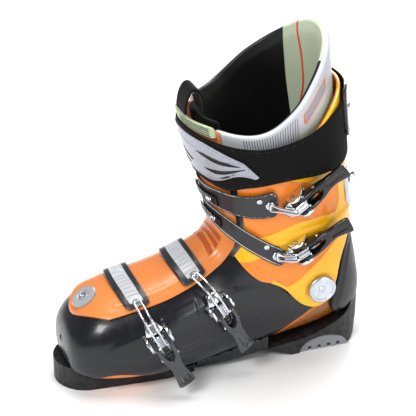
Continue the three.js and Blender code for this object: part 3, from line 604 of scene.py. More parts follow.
def plastic(name, colour, roughness, coat=0.0, grain=900, depth=0.00004, **constants):
    """Moulded plastic: a fine grain, soft flow marks, light scuffs and uneven gloss."""
    look = Look(name, colour, roughness, Coat_Weight=coat, Coat_Roughness=0.12, **constants)
    look.vary(look.noise(22, 2), 0.93, 1.04)
    look.rough(look.noise(160, 4), roughness * 0.8, min(1, roughness * 1.25))
    look.bump(look.noise(grain, 2), depth)
    scuffs = look.noise(140, 5, (1, 6, 1), 0.7)
    look.bump(look.ramp(scuffs, 0.6, 0.75), 0.00002)
    return look


def metal(name, colour, roughness, grain=(1, 1, 14)):
    look = Look(name, colour, roughness, Metallic=1.0)
    look.vary(look.noise(60, 2), 0.9, 1.05)
    look.rough(look.noise(500, 4, grain), roughness * 0.6, roughness * 1.6)
    look.bump(look.noise(1400, 2, grain), 0.00001)
    return look


YELLOW = (255, 190, 14)
ORANGE = (240, 138, 34)
DEEP_ORANGE = (226, 138, 70)
NAVY = (15, 18, 27)
SILVER = (168, 172, 182)
SAGE = (197, 208, 182)


def zone(look, name, width=0.25):
    """A crisp mask from a field kept on the vertices, in millimetres."""
    return look.ramp(look.field(name), -width, width)


def line_on(look, name, at, half):
    """A line of the given half width where the field on the vertices has the value at."""
    away = look.math("ABSOLUTE", look.math("SUBTRACT", look.field(name), at))
    return look.ramp(away, half + 0.2, half - 0.2)


def wear(look, colour, amount=0.5):
    """Rubbed edges, where the surface turns sharply outwards."""
    sharp = look.node("NewGeometry").outputs["Pointiness"]
    edge = look.ramp(sharp, 0.53, 0.6)
    patchy = look.ramp(look.noise(180, 4), 0.35, 0.65)
    look.layer(look.math("MULTIPLY", look.math("MULTIPLY", edge, patchy), amount, True), colour)


shell_look = plastic("shell_plastic", NAVY, 0.3, 0.35)
shell_look.layer(zone(shell_look, "inlay"), ORANGE)
shade = shell_look.ramp(shell_look.field("shade"), 0, 9)
shell_look.layer(shell_look.math("MULTIPLY", shade, zone(shell_look, "inlay")), (150, 88, 30))
wear(shell_look, (90, 94, 104), 0.4)

cuff_look = plastic("cuff_plastic", YELLOW, 0.24, 0.5)
cuff_look.layer(zone(cuff_look, "orange"), ORANGE)
cuff_look.layer(cuff_look.ramp(cuff_look.field("lining"), 0.4, 0.6), (212, 120, 24))
wear(cuff_look, (255, 222, 120), 0.5)

tongue_look = plastic("tongue_plastic", DEEP_ORANGE, 0.3, 0.4)
tongue_look.layer(zone(tongue_look, "rib"), (190, 92, 34))
wear(tongue_look, (250, 180, 120), 0.4)

grey_look = plastic("strap_plastic", (50, 50, 54), 0.34, 0.2)
grey_look.layer(zone(grey_look, "edge_line", 0.12), (222, 222, 226))
wear(grey_look, (150, 150, 155), 0.5)

clear_look = plastic(
    "clear_plastic", (176, 178, 180), 0.16, 0.6, Transmission_Weight=0.15, IOR=1.49
)
rubber_look = plastic("sole_rubber", (10, 10, 12), 0.44, 0.0, 500, 0.00008)
wear(rubber_look, (70, 70, 74), 0.5)
tread_look = plastic("tread_rubber", (142, 144, 148), 0.62, 0.0, 420, 0.00016)
guard_look = plastic("heel_guard", (14, 16, 22), 0.34, 0.15, 700, 0.00006)
wear(guard_look, (80, 84, 92), 0.5)
black_look = plastic("black_plastic", (9, 9, 11), 0.2, 0.5)
wear(black_look, (96, 98, 104), 0.5)
chrome_look = metal("bright_metal", (222, 226, 232), 0.14)
pin_look = metal("pin_metal", (176, 180, 186), 0.24)
silver_look = metal("silver_plastic", (206, 212, 220), 0.32, (14, 1, 1))
board_look = plastic("board_plastic", (62, 64, 68), 0.6)


def webbing(name, colour, pitch_along=0.0022, pitch_across=0.0011, depth=0.0002):
    """Woven strap: raised yarns in a brick pattern, with sheen, painted shade between the yarns and
    a painted highlight on their tops.
    """
    look = Look(name, colour, 0.8, Sheen_Weight=0.08, Sheen_Roughness=0.4, Specular_IOR_Level=0.2)
    u, v = look.flat_place()
    row = look.math("FLOOR", look.math("DIVIDE", v, pitch_across))
    odd = look.math("MULTIPLY", look.math("MODULO", row, 2.0), 0.5)
    x = look.math("FRACT", look.math("ADD", look.math("DIVIDE", u, pitch_along), odd))
    y = look.math("FRACT", look.math("DIVIDE", v, pitch_across))
    bell = look.math("MULTIPLY", look.math("PINGPONG", x, 0.5), 2.0)
    roll = look.math("MULTIPLY", look.math("PINGPONG", y, 0.5), 2.0)
    yarn = look.math("POWER", look.math("MULTIPLY", bell, roll), 0.5)
    # Painted shade and painted highlight: the colour darkens between the yarns and lightens on
    # their tops.
    look.vary(yarn, 0.55, 1.25)
    look.bump(yarn, depth)
    look.bump(look.noise(2500, 3), 0.00003)
    return look


strap_look = webbing("power_strap", (17, 17, 19), 0.004, 0.002, 0.0004)
strap_look.layer(zone(strap_look, "stitch", 0.1), (58, 59, 62))
loop_look = webbing("pull_loop", (20, 20, 22), 0.003, 0.0026, 0.0004)

panel_look = plastic("panel_plastic", SILVER, 0.3, 0.35, Metallic=0.35)
panel_look.layer(zone(panel_look, "inset", 0.15), (16, 16, 18))
panel_look.layer(zone(panel_look, "stitch", 0.1), (110, 114, 122))
cells = panel_look.node("TexVoronoi", Vector=panel_look.place((1, 1, 1.6)), Scale=420.0)
panel_look.bump(cells.outputs["Distance"], 0.00018)

liner_look = Look("liner_shell", (203, 206, 212), 0.36, Sheen_Weight=0.15, Coat_Weight=0.15)
inner_side = liner_look.ramp(liner_look.field("lining"), 0.4, 0.6)
outer_side = liner_look.math("SUBTRACT", 1.0, inner_side)
liner_look.vary(liner_look.noise(18, 2), 0.95, 1.03)


def liner_layer(side, mask, colour):
    """A colour on one side of the liner only, where mask is 1."""
    liner_look.layer(liner_look.math("MULTIPLY", side, mask), colour)


RIB_PITCH = 0.0028
ribs_mask = zone(liner_look, "ribs", 0.6)
wave = liner_look.math(
    "PINGPONG", liner_look.math("DIVIDE", liner_look.flat_place()[0], RIB_PITCH), 0.5
)
# Painted shade: the furrows between the ribs, where the wave is low, get a darker grey.
painted_furrow_shade = liner_look.math("MULTIPLY", liner_look.ramp(wave, 0.24, 0.04), ribs_mask)
liner_layer(outer_side, zone(liner_look, "side_pad", 0.4), (186, 198, 180))
liner_layer(outer_side, painted_furrow_shade, (96, 98, 108))
liner_layer(outer_side, zone(liner_look, "patch", 0.2), (158, 166, 180))
liner_layer(outer_side, line_on(liner_look, "patch", -0.7, 0.9), (246, 122, 20))
liner_layer(inner_side, 1.0, (5, 5, 6))
liner_layer(inner_side, zone(liner_look, "pad", 0.4), SAGE)
piping_down = liner_look.math(
    "MULTIPLY", line_on(liner_look, "piping", 0, 1.3), zone(liner_look, "pad")
)
liner_layer(inner_side, piping_down, (226, 82, 22))
piping_across = liner_look.math(
    "MULTIPLY", line_on(liner_look, "cross_piping", 0, 1.4), zone(liner_look, "cross_ends")
)
liner_layer(inner_side, piping_across, (236, 92, 22))
liner_look.bump(liner_look.math("MULTIPLY", wave, ribs_mask), 0.0007)
liner_look.bump(liner_look.noise(900, 3), 0.00006)

lining_look = Look(
    "liner_lining", (8, 8, 9), 0.92, Sheen_Weight=0.05, Sheen_Roughness=0.6, Specular_IOR_Level=0.15
)
lining_look.vary(lining_look.noise(260, 4), 0.8, 1.25)
lining_look.bump(lining_look.noise(1500, 3), 0.0002)
foam_look = Look("insole_foam", (70, 72, 76), 0.9)
foam_look.vary(foam_look.noise(900, 2), 0.8, 1.2)
foam_look.bump(foam_look.noise(1600, 2), 0.0002)
sage_look = Look(
    "sage_rubber", (196, 207, 172), 0.34, Transmission_Weight=0.2, Subsurface_Weight=0.1
)
sage_look.vary(sage_look.noise(60, 2), 0.92, 1.05)
sage_look.layer(zone(sage_look, "slots", 0.1), (20, 20, 20))
sage_look.bump(sage_look.noise(700, 3), 0.00005)


def finish_piece(obj, look, body, nodes=()):
    """Gives a new piece its material and its body, or only bakes its transform where body is a
    tuple, and hides the CAD nodes that it stands for.
    """
    obj.data.materials.clear()
    obj.data.materials.append(look.material)
    if isinstance(body, tuple):
        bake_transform(obj)
    else:
        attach(obj, body)
    if nodes:
        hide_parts(*([nodes] if isinstance(nodes, str) else nodes))
    return obj


def either(*fields):
    """The field that is positive where any of them is."""
    return lambda t, a: np.maximum.reduce([f(t, a) for f in fields])


def both(*fields):
    """The field that is positive where all of them are."""
    return lambda t, a: np.minimum.reduce([f(t, a) for f in fields])


def negative(field):
    return lambda t, a: -field(t, a)


# ---- Lower shell.
THROAT_START = 1.7


def throat_field(t, a):
    """Positive outside the open throat over the instep."""
    half = 36 * np.sqrt(np.clip((t - THROAT_START) / 0.9, 0, 1))
    ahead = (THROAT_START - t) * per_t(t, a)
    return np.maximum((np.abs(signed(a)) - half) * per_a(t, a), ahead)


SHELL_TOP = [
    (-200, 150), (-30, 142), (30, 127), (72, 123), (115, 124), (140, 136), (200, 140),
    (200, 300), (-200, 300),
]
shell_top = side_field(SHELL_TOP, False)
shell_field = both(negative(shell_top), throat_field)
# Orange inlays: a long wedge behind the arch and a lens by the forefoot.
WEDGE = [
    (34, 4), (60, 4), (92, 17), (122, 26), (146, 30), (140, 50), (131, 70), (120, 64), (104, 53),
    (84, 40), (62, 24),
]
LENS = [(-136, 12), (-126, 21), (-112, 25), (-92, 22), (-72, 15), (-58, 6), (-80, 4), (-120, 6)]
wedge_field = side_field(WEDGE, False)
lens_field = side_field(LENS)
inlay = either(wedge_field, lens_field)
# A raised side panel behind the toe, with a soft crease along its lower edge.
CREASE = [
    (-124, 44), (-88, 38), (-40, 40), (10, 46), (58, 58), (84, 66), (70, 92), (20, 100), (-30, 92),
    (-80, 78), (-116, 62),
]
crease_field = side_field(CREASE)
FACET = [(-66, 84), (-52, 48), (-20, 50), (-26, 96)]
facet_field = side_field(FACET, False)
lower_shell = skin_piece(
    "shell_body", (0, 9.0), (-180, 180), (0.055, 2.5), shell_field, -SHELL_WALL, 0.0, 0.9,
    features=[(inlay, 0.7, -0.7), (crease_field, 7.0, 1.1), (facet_field, 1.6, 0.9)],
    zones={"inlay": inlay, "shade": lambda t, a: wedge_field(t, a) + 2},
)
finish_piece(lower_shell, shell_look, "shell", "lower_shell")

# ---- Cuff.
CUFF_TOP = [(0, 13.8), (60, 13.8), (90, 14.4), (137, 16.1), (180, 16.5)]
CUFF_EDGE = [
    (4, 190), (12, 150), (26, 122), (43, 104), (58, 98), (71, 90), (84, 75), (94, 67), (106, 63),
    (117, 66), (124, 74), (128, 90), (132, 114), (139, 134), (148, 150), (160, 156),
]
CUFF_OUTSIDE = [(210, 156.5), (210, 700), (-120, 700), (-120, 190)]
edge_line = np.vstack([rounded(CUFF_EDGE, False), CUFF_OUTSIDE])


def cuff_side(t, a):
    p = skin(t, a)
    return inside(edge_line, p[..., 1], p[..., 2])


def cuff_top(t, a):
    return (knots(CUFF_TOP, np.abs(signed(a))) - t) * per_t(t, a)


def cuff_front(t, a):
    return (np.abs(signed(a)) - 50) * per_a(t, a)


cuff_field = both(cuff_side, cuff_top, cuff_front)
RIDGE = [
    (40, 128), (62, 137), (82, 144), (104, 149), (128, 156), (150, 166), (150, 178), (128, 170),
    (104, 163), (84, 158), (66, 150), (44, 140),
]
UPPER_ORANGE = [
    (-20, 150), (30, 143), (60, 156), (82, 168), (104, 171), (121, 172), (125, 184), (122, 204),
    (90, 214), (-20, 240),
]
LOWER_ORANGE = [
    (-20, 60), (52, 60), (58, 103), (74, 92), (86, 98), (98, 110), (112, 124), (127, 142),
    (120, 148), (88, 140), (60, 131), (36, 124), (-20, 124),
]
ridge = side_field(RIDGE)
upper_orange = side_field(UPPER_ORANGE, False)
lower_orange = side_field(LOWER_ORANGE, False)
cuff_orange = either(upper_orange, lower_orange)
BACK_PANEL = [(134, 168), (150, 168), (147, 190), (138, 236), (128, 240), (128, 200)]
back_panel = side_field(BACK_PANEL)


PIVOT_PAD_RADIUS = 18.5


def pivot_pad(t, a):
    """A flat recess in the cuff round each ankle pivot."""
    p = skin(t, a)
    return PIVOT_PAD_RADIUS - np.hypot(p[..., 1] - PIVOT[0], p[..., 2] - PIVOT[1])


cuff = skin_piece(
    "cuff_body", (6.0, 16.7), (48, 312), (0.05, 2.0), cuff_field, CUFF_IN, CUFF_OUT, 0.9,
    features=[
        (cuff_orange, 1.6, -0.9), (ridge, 4.0, 1.3), (back_panel, 1.5, 0.6),
        (both(pivot_pad, cuff_side), 1.0, -0.5),
    ],
    zones={"orange": cuff_orange},
)
finish_piece(cuff, cuff_look, "cuff_assembly", "cuff")


# ---- Outer tongue, one flexible moulding over the throat, from the foot half to the leg half.
TONGUE_TOE, TONGUE_TOP = 1.35, 15.0


def tongue_field(t, a):
    nose = np.sqrt(np.clip((t - TONGUE_TOE) / 1.1, 0, 1))
    half = mix(46, 43, smooth(6, 10, t)) * nose
    side = (half - np.abs(signed(a))) * per_a(t, a)
    return np.minimum(side, np.minimum(TONGUE_TOP - t, t - TONGUE_TOE) * per_t(t, a))


def tongue_ribs(t, a):
    """Three cross ribs over the instep, where the tongue folds as it flexes."""
    made = np.full(t.shape, -9.0)
    for middle in (5.9, 6.5, 7.1):
        across = 3.2 - np.abs(t - middle) * per_t(t, a)
        made = np.maximum(made, np.minimum(across, (30 - np.abs(signed(a))) * per_a(t, a)))
    return made


def tongue_rails(t, a):
    """A low rail down each side of the tongue."""
    off = np.abs(np.abs(signed(a)) - 33) * per_a(t, a)
    return np.minimum(2.6 - off, np.minimum(t - 2.6, 11 - t) * per_t(t, a))


# The soft pieces run from the foot half to the leg half; ANKLE holds both halves and these two
# points.
ANKLE_START = tuple(place([0, PIVOT[0] - 70, PIVOT[1] + 36]))
ANKLE_END = tuple(place([0, PIVOT[0] - 58, PIVOT[1] + 72]))
ANKLE = ("shell", "cuff_assembly", ANKLE_START, ANKLE_END)

tongue = skin_piece(
    "outer_tongue", (1.3, 15.05), (-48, 48), (0.05, 2.0), tongue_field, TONGUE_IN, TONGUE_OUT, 0.9,
    features=[(tongue_ribs, 1.4, -0.9), (tongue_rails, 1.2, 0.35)],
    zones={"rib": tongue_ribs},
)
finish_piece(tongue, tongue_look, ANKLE, ("tongue_foot", "tongue_shin"))


# ---- Liner: one padded boot from the toe to the rim, with its own tongue.
RIM = [
    (0, 15.3), (45, 14.95), (75, 15.15), (105, 16.1), (125, 16.9), (150, 17.6), (180, 17.95),
    (215, 17.8), (260, 16.95), (300, 15.75), (330, 15.45), (360, 15.3),
]


def rim_at(t, a):
    return knots(RIM, positive(a))


def rim_field(t, a):
    return (rim_at(t, a) - t) * per_t(t, a)


def liner_front(t, a):
    """The opening that the liner's tongue fills, from the instep up."""
    across = (np.abs(signed(a)) - 39) * per_a(t, a)
    return np.maximum(across, (6.4 - t) * per_t(t, a))


liner_field = both(rim_field, liner_front)


def liner_outside(t, a):
    return mix(LINER_OUT - 2, -0.2, smooth(12.3, 13.6, t)) + 2 * (1 - smooth(7.0, 8.5, t))


def liner_inside(t, a):
    return liner_outside(t, a) - LINER_WALL


BOARD_HEIGHT, BOARD_SLOPE, BOARD_TOE_Y = 20, 0.078, -150
LINER_FLOOR = 5.0


def above_board(points, outside):
    """Keeps the liner on the boot board, which ramps up to the heel."""
    floor = BOARD_HEIGHT + BOARD_SLOPE * (points[:, 1] + 100) + FIT
    floor = floor + (0 if outside else LINER_FLOOR)
    made = points.copy()
    low = (made[:, 2] < floor) & (made[:, 1] > BOARD_TOE_Y)
    made[low, 2] = floor[low]
    return made


def degrees_band(low, high, t_low, t_high):
    """A field between two angles and between two sections that may vary."""

    def field(t, a):
        b = positive(a)
        sides = np.minimum(b - low, high - b) * per_a(t, a)
        ends = np.minimum(t - t_low(t, a), t_high(t, a) - t) * per_t(t, a)
        return np.minimum(sides, ends)

    return field


ribs_zone = degrees_band(60, 104, lambda t, a: 12.0, lambda t, a: rim_at(t, a) - 0.14)
patch_zone = degrees_band(
    110, 134, lambda t, a: rim_at(t, a) - 0.66, lambda t, a: rim_at(t, a) - 0.36
)
side_pad = degrees_band(100, 168, lambda t, a: 12.0, lambda t, a: rim_at(t, a) - 0.95)
back_pad = degrees_band(
    138, 228, lambda t, a: 15.6 - 1.3 * smooth(190, 220, positive(a)),
    lambda t, a: rim_at(t, a) + 1,
)


def pad_piping(t, a):
    """The distance from the piping that runs down the inner pad's medial side."""
    b = positive(a)
    bow = mix(221, 209, smooth(14.6, 16.2, t)) + 4 * smooth(16.6, 17.8, t)
    return (b - bow) * per_a(t, a)


def cross_piping(t, a):
    """The distance from the short piping across the pad's lateral side."""
    b = positive(a)
    return (t - 16.15 - 0.3 * smooth(146, 180, b)) * per_t(t, a)


def cross_ends(t, a):
    b = positive(a)
    return np.minimum(b - 138, 176 - b) * per_a(t, a)


def liner_puff(t, a):
    """The padding swells between its seams and thins at the rim."""
    return 1.6 * smooth(0, 14, rim_field(t, a)) * smooth(13, 15, t)


liner = skin_piece(
    "liner_padding", (0.6, 18.8), (-180, 180), (0.07, 3.0), liner_field,
    lambda t, a: liner_inside(t, a) - liner_puff(t, a), liner_outside, 2.6,
    zones={
        "ribs": ribs_zone, "patch": patch_zone, "pad": back_pad, "piping": pad_piping,
        "cross_piping": cross_piping, "cross_ends": cross_ends, "side_pad": side_pad,
    },
    bend=above_board, end_caps=True, sharp=80,
)
finish_piece(liner, liner_look, ANKLE, ("liner_foot", "liner_cuff"))


def liner_tongue_field(t, a):
    across = (37.5 - np.abs(signed(a))) * per_a(t, a)
    return np.minimum(across, np.minimum(15.25 - t, t - 5.9) * per_t(t, a))


liner_tongue = skin_piece(
    "liner_tongue_padding", (5.8, 15.4), (-40, 40), (0.06, 2.5), liner_tongue_field,
    lambda t, a: LINER_OUT - 1 - LINER_WALL - 1.2 * smooth(0, 14, liner_tongue_field(t, a)),
    LINER_OUT - 1, 2.6, sharp=80,
)
finish_piece(liner_tongue, lining_look, ANKLE, "liner_tongue")

# ---- Heel guard and spine plate.
GUARD = [
    (128, 56), (133, 84), (139, 116), (147, 134), (156, 148), (195, 150), (195, 40), (150, 38),
    (136, 42),
]
guard_field = side_field(GUARD)


def guard_panel(t, a):
    """The guard's middle, raised inside a margin."""
    return guard_field(t, a) - 4.5


heel_guard = skin_piece(
    "heel_guard_body", (7.0, 13.6), (100, 260), (0.05, 2.0), guard_field, 0.5, 4.0, 1.4,
    features=[(guard_panel, 3.0, 1.2)],
)
finish_piece(heel_guard, guard_look, "shell", "heel_guard")


def rectangle(t_low, t_high, a_low, a_high, corner):
    """A field over a patch with rounded corners, in millimetres from its edge."""
    middle_t, middle_a = (t_low + t_high) / 2, (a_low + a_high) / 2

    def field(t, a):
        b = middle_a + signed(np.asarray(a, float) - middle_a)
        scale_t, scale_a = per_t(t, a), per_a(t, a)
        x = np.abs(b - middle_a) * scale_a - (a_high - a_low) / 2 * scale_a + corner
        y = np.abs(t - middle_t) * scale_t - (t_high - t_low) / 2 * scale_t + corner
        outside = np.hypot(np.maximum(x, 0), np.maximum(y, 0))
        return corner - outside - np.minimum(np.maximum(x, y), 0)

    return field


SPINE_IN, SPINE_WALL = CUFF_OUT + SOLE_GAP, 1.8
plate_field = rectangle(12.9, 14.1, 142, 218, 9)
spine_plate = skin_piece(
    "spine_plate_body", (12.8, 14.2), (138, 222), (0.04, 2.0), plate_field, SPINE_IN,
    SPINE_IN + SPINE_WALL, 0.7, features=[(lambda t, a: plate_field(t, a) - 4, 0.8, -0.5)],
)
finish_piece(spine_plate, silver_look, "cuff_assembly", "spine_plate")

# ---- Power strap, its panel and its rear clip.
STRAP_LOW = [(0, 11.75), (40, 11.9), (60, 12.7), (90, 13.6), (137, 14.3), (180, 14.8)]
STRAP_HIGH = [(0, 14.6), (50, 14.5), (75, 14.7), (105, 15.3), (137, 15.95), (180, 16.2)]
STRAP_OUT = OVER_CUFF_IN + STRAP_WALL


def strap_low(a):
    return knots(STRAP_LOW, np.abs(signed(a)))


def strap_high(a):
    return knots(STRAP_HIGH, np.abs(signed(a)))


def strap_field(t, a):
    return np.minimum(t - strap_low(a), strap_high(a) - t) * per_t(t, a)


def beat(t, a, pitch):
    """Millimetres from the middle of each step of that pitch round the boot."""
    return np.abs(arc(t, a) % pitch - pitch / 2)


def strap_stitch(t, a):
    """Two rows of stitches along the strap's edges."""
    row = 0.45 - np.abs(strap_field(t, a) - 3.2)
    step = beat(t, a, 4.2) - 0.75
    return np.minimum(row, -step + 0.45)


def overlap_edge(t, a):
    """The strap's free end shows as a step where it lies over the other end."""
    return (signed(a) - 104) * per_a(t, a)


power_strap = skin_piece(
    "power_strap_webbing", (11.6, 16.4), (-180, 180), (0.045, 2.0), strap_field, OVER_CUFF_IN,
    STRAP_OUT - 0.5, 0.9, features=[(overlap_edge, 1.0, 0.5)],
    zones={"stitch": strap_stitch},
)
finish_piece(power_strap, strap_look, "cuff_assembly", "power_strap")


def panel_field(t, a):
    b = signed(a)
    point = smooth(28, 70, b)
    low = mix(strap_low(b) + 0.35, 13.3, point)
    high = mix(strap_high(b) - 0.25, 13.85, point)
    across = np.minimum(t - low, high - t) * per_t(t, a)
    tip = ((69 - b) * per_a(t, a) - np.abs(t - 13.45) * per_t(t, a)) * 0.7
    return np.minimum(np.minimum(across, tip), (b + 62) * per_a(t, a))


def strap_share(t, a):
    """(millimetres round the leg, share of the panel's height) for drawing the panel's pattern."""
    low = strap_low(signed(a)) + 0.35
    high = strap_high(signed(a)) - 0.25
    return signed(a), (t - low) / (high - low)


# The panel's black insets: angle and share of the height.
INSETS = [
    [(-60, 0.44), (-20, 0.46), (10, 0.28), (14, 0.34), (-14, 0.56), (-60, 0.56)],
    [(-60, 0.26), (-24, 0.26), (2, 0.12), (6, 0.17), (-20, 0.35), (-60, 0.36)],
    [(24, 0.30), (36, 0.26), (60, 0.44), (62, 0.48), (44, 0.42)],
    [(20, 0.66), (36, 0.58), (60, 0.54), (48, 0.66), (30, 0.72)],
    [(36, 0.12), (46, 0.22), (54, 0.36), (44, 0.26)],
]


PANEL_HEIGHT = 55.0


def insets(t, a):
    x, y = strap_share(t, a)
    scale_a, scale_y = 0.9, PANEL_HEIGHT
    made = np.full(t.shape, -9.0)
    for shape in INSETS:
        outline = np.array([(p[0] * scale_a, p[1] * scale_y) for p in shape])
        made = np.maximum(made, inside(outline, x * scale_a, y * scale_y))
    return made


def panel_stitch(t, a):
    row = 0.4 - np.abs(panel_field(t, a) - 2.6)
    return np.minimum(row, 1.4 - beat(t, a, 3.6))


def panel_emboss(t, a):
    """Raised bands that run along the panel."""
    x, y = strap_share(t, a)
    return 1.6 - np.abs(y - 0.74 + 0.001 * x) * PANEL_HEIGHT


PANEL_IN = STRAP_OUT + SOLE_GAP
strap_panel = skin_piece(
    "strap_panel_body", (11.4, 14.7), (-64, 72), (0.03, 1.2), panel_field, PANEL_IN - 0.5,
    PANEL_IN + 1.1, 0.6,
    features=[(insets, 0.6, -0.6), (panel_emboss, 0.7, 0.4)],
    zones={"inset": insets, "stitch": panel_stitch},
)
finish_piece(strap_panel, panel_look, "cuff_assembly", "strap_panel")

CLIP_HEIGHT = 3.4
clip_field = rectangle(15.05, 16.5, 146, 214, 6)
strap_clip = skin_piece(
    "strap_rear_clip_body", (14.9, 16.6), (140, 220), (0.05, 2.0), clip_field, STRAP_OUT + 0.4,
    STRAP_OUT + CLIP_HEIGHT, 1.2, features=[(lambda t, a: clip_field(t, a) - 5, 1.4, -0.9)],
)
finish_piece(strap_clip, black_look, "cuff_assembly", "strap_rear_clip")

# ---- Tab on the tongue's top edge, slotted.
tab_field = rectangle(14.62, 15.2, -20, 42, 4)


def tab_slots(t, a):
    """Four slots across the tab."""
    made = np.full(t.shape, -9.0)
    for k in range(4):
        middle = 14.72 + 0.115 * k
        across = 0.55 - np.abs(t - middle) * per_t(t, a)
        along = np.minimum(signed(a) - 2, 38 - signed(a)) * per_a(t, a)
        made = np.maximum(made, np.minimum(across, along))
    return made


tongue_tab = skin_piece(
    "tongue_tab_body", (14.55, 15.3), (-24, 46), (0.02, 1.2), tab_field, TONGUE_OUT + 0.4,
    TONGUE_OUT + 4.2, 1.2, features=[(tab_slots, 0.4, -0.8)], zones={"slots": tab_slots},
)
finish_piece(tongue_tab, sage_look, "cuff_assembly", "tongue_tab")

# ---- Ladders and strap plates: t at the front, rise of t at 80 degrees, half widths in t at the
# front and at the sides, and the angles of both ends.
BANDS = {
    "ladder_toe": dict(t=3.05, rise=0.7, half=0.33, wide=0.3, ends=(-74, 43), shell=True),
    "ladder_instep": dict(t=4.72, rise=0.95, half=0.4, wide=0.45, ends=(-74, 43), shell=True),
    "plate_lower": dict(t=8.6, rise=0.95, half=0.95, wide=0.62, ends=(-94, 79), shell=False),
    "plate_upper": dict(t=10.45, rise=2.1, half=0.75, wide=0.6, ends=(-84, 79), shell=False),
}


def band_centre(band, a):
    """The section t of a strap's middle line at the angle a."""
    return band["t"] + band["rise"] * (a / 80) ** 2


def band_half(band, a):
    return mix(band["half"], band["wide"], smooth(20, 80, np.abs(a)))


def band_offset(band, a, extra=0.0):
    """How far a strap's inner face stands off the shell, plus extra."""
    b = signed(a)
    if band["shell"]:
        step = np.where(b < 0, smooth(50, 62, -b), 0)
        return mix(BAND_IN, FIT, step) + extra
    return mix(BAND_IN, OVER_CUFF_IN, smooth(36, 47, np.abs(b))) + extra


def band_field(band, corner):
    """The strap's outline, with rounded corners."""

    def field(t, a):
        b = signed(a)
        across = (np.abs(t - band_centre(band, b)) - band_half(band, b)) * per_t(t, a) + corner
        middle = sum(band["ends"]) / 2
        half = (band["ends"][1] - band["ends"][0]) / 2
        length = (np.abs(b - middle) - half) * per_a(t, a) + corner
        outside = np.hypot(np.maximum(length, 0), np.maximum(across, 0))
        return corner - outside - np.minimum(np.maximum(length, across), 0)

    return field


def ladder_rungs(band):
    """The ladder's clear middle: a channel crossed by teeth, between two dark rails."""

    def field(t, a):
        b = signed(a)
        d = np.abs(t - band_centre(band, b)) * per_t(t, a)
        channel = band_half(band, b) * per_t(t, a) * 0.52 - d
        ends = np.minimum(b + 52, 34 - b) * per_a(t, a)
        return np.minimum(np.minimum(channel, ends), beat(t, a, 5.0) - 0.9)

    return field


def ladder_middle(band):
    def field(t, a):
        b = signed(a)
        d = np.abs(t - band_centre(band, b)) * per_t(t, a)
        channel = band_half(band, b) * per_t(t, a) * 0.56 - d
        return np.minimum(channel, np.minimum(b + 56, 38 - b) * per_a(t, a))

    return field


ladder_look = plastic("ladder_plastic", (44, 45, 49), 0.3, 0.3)
ladder_look.layer(zone(ladder_look, "middle"), (190, 192, 196))
wear(ladder_look, (150, 150, 154), 0.5)

for name, band in BANDS.items():
    shape = band_field(band, 4.0 if band["shell"] else 9.0)
    low = math.floor(band["t"] - 1.2)
    high = math.ceil(float(band_centre(band, 100)) + 1.2)
    if band["shell"]:
        features = [(ladder_rungs(band), 0.5, -1.1)]
        zones = {"middle": ladder_middle(band)}
    else:
        features = [(lambda t, a, f=shape: f(t, a) - 2.4, 0.6, -0.35)]
        zones = {"edge_line": lambda t, a, f=shape: 0.35 - np.abs(f(t, a) - 1.7)}
    piece = skin_piece(
        name + "_body", (low, high), (band["ends"][0] - 3, band["ends"][1] + 3), (0.04, 1.5), shape,
        lambda t, a, b=band: band_offset(b, a), lambda t, a, b=band: band_offset(b, a, STRAP_WALL),
        0.8, features=features, zones=zones,
    )
    body = "shell" if band["shell"] else "cuff_assembly"
    finish_piece(piece, ladder_look if band["shell"] else grey_look, body, name)


# ---- Fittings, each built in its own frame on the surface.
def fitting_frame(t, a, offset, target_t, target_a):
    """X towards the target, Y across, Z outwards, in drawn millimetres."""
    step = 0.05
    origin = skin(t, a, offset)
    upwards = skin(t + step, a, offset) - skin(t - step, a, offset)
    round_it = skin(t, a + step, offset) - skin(t, a - step, offset)
    out = np.cross(round_it, upwards)
    out /= np.linalg.norm(out)
    pull = skin(target_t, target_a, offset) - origin
    pull -= out * (pull @ out)
    pull /= np.linalg.norm(pull)
    made = np.eye(4)
    made[:3, 0], made[:3, 1], made[:3, 2], made[:3, 3] = pull, np.cross(out, pull), out, origin
    return made


def band_frame(band, a, target_t, target_a, up=0.0):
    """A fitting's frame on the outside of a strap, at the angle a."""
    offset = float(band_offset(band, a, STRAP_WALL))
    return fitting_frame(float(band_centre(band, a)) + up, a, offset, target_t, target_a)


def flat(x, y, offset):
    """For pieces with their outline in X and Y and their thickness along Z."""
    x, y, offset = np.broadcast_arrays(x, y, offset)
    return np.stack([x, y, offset], -1).astype(float)


def upright(x, z, offset):
    """For cheeks: the outline is in X and Z and the thickness runs along Y."""
    x, z, offset = np.broadcast_arrays(x, z, offset)
    return np.stack([x, -offset, z], -1).astype(float)


def outline_field(points, steps=4):
    line = rounded(points, True, steps) if steps else np.array(points, float)
    return lambda x, y: inside(line, x, y)


def ring_mesh(name, points, sides, sharp):
    """A closed mesh from rings of drawn points, capped at both ends."""
    faces = []
    for start in range(0, len(points) - sides, sides):
        for k in range(sides):
            n = (k + 1) % sides
            faces.append([start + k, start + n, start + sides + n, start + sides + k])
    faces.append(list(range(sides))[::-1])
    faces.append([len(points) - sides + k for k in range(sides)])
    obj = make_mesh(name, place(points), faces)
    turn_outwards(obj)
    smooth_shade(obj, sharp)
    return obj


def lathe(name, matrix, outline, sides=32):
    """A turned piece about its frame's Z axis, from an outline of (radius, height)."""
    points = []
    for r, z in outline:
        for k in range(sides):
            a = 2 * math.pi * k / sides
            points.append((r * math.cos(a), r * math.sin(a), z))
    return ring_mesh(name, through(matrix, points), sides, 35)


def screw_profile(radius, low, high, socket, depth):
    """A domed head with a round driver socket."""
    edge = min(0.7, radius * 0.2)
    return [
        (radius, low), (radius, high - edge), (radius - edge * 0.4, high - edge * 0.25),
        (radius - edge, high), (socket + 0.4, high + 0.15), (socket, high - 0.1),
        (socket * 0.9, high - depth), (0.05, high - depth),
    ]


def turned(name, matrix, outline, sides, look, body, nodes=()):
    """A lathe piece with its look, body and the CAD nodes that it stands for."""
    return finish_piece(lathe(name, matrix, outline, sides), look, body, nodes)


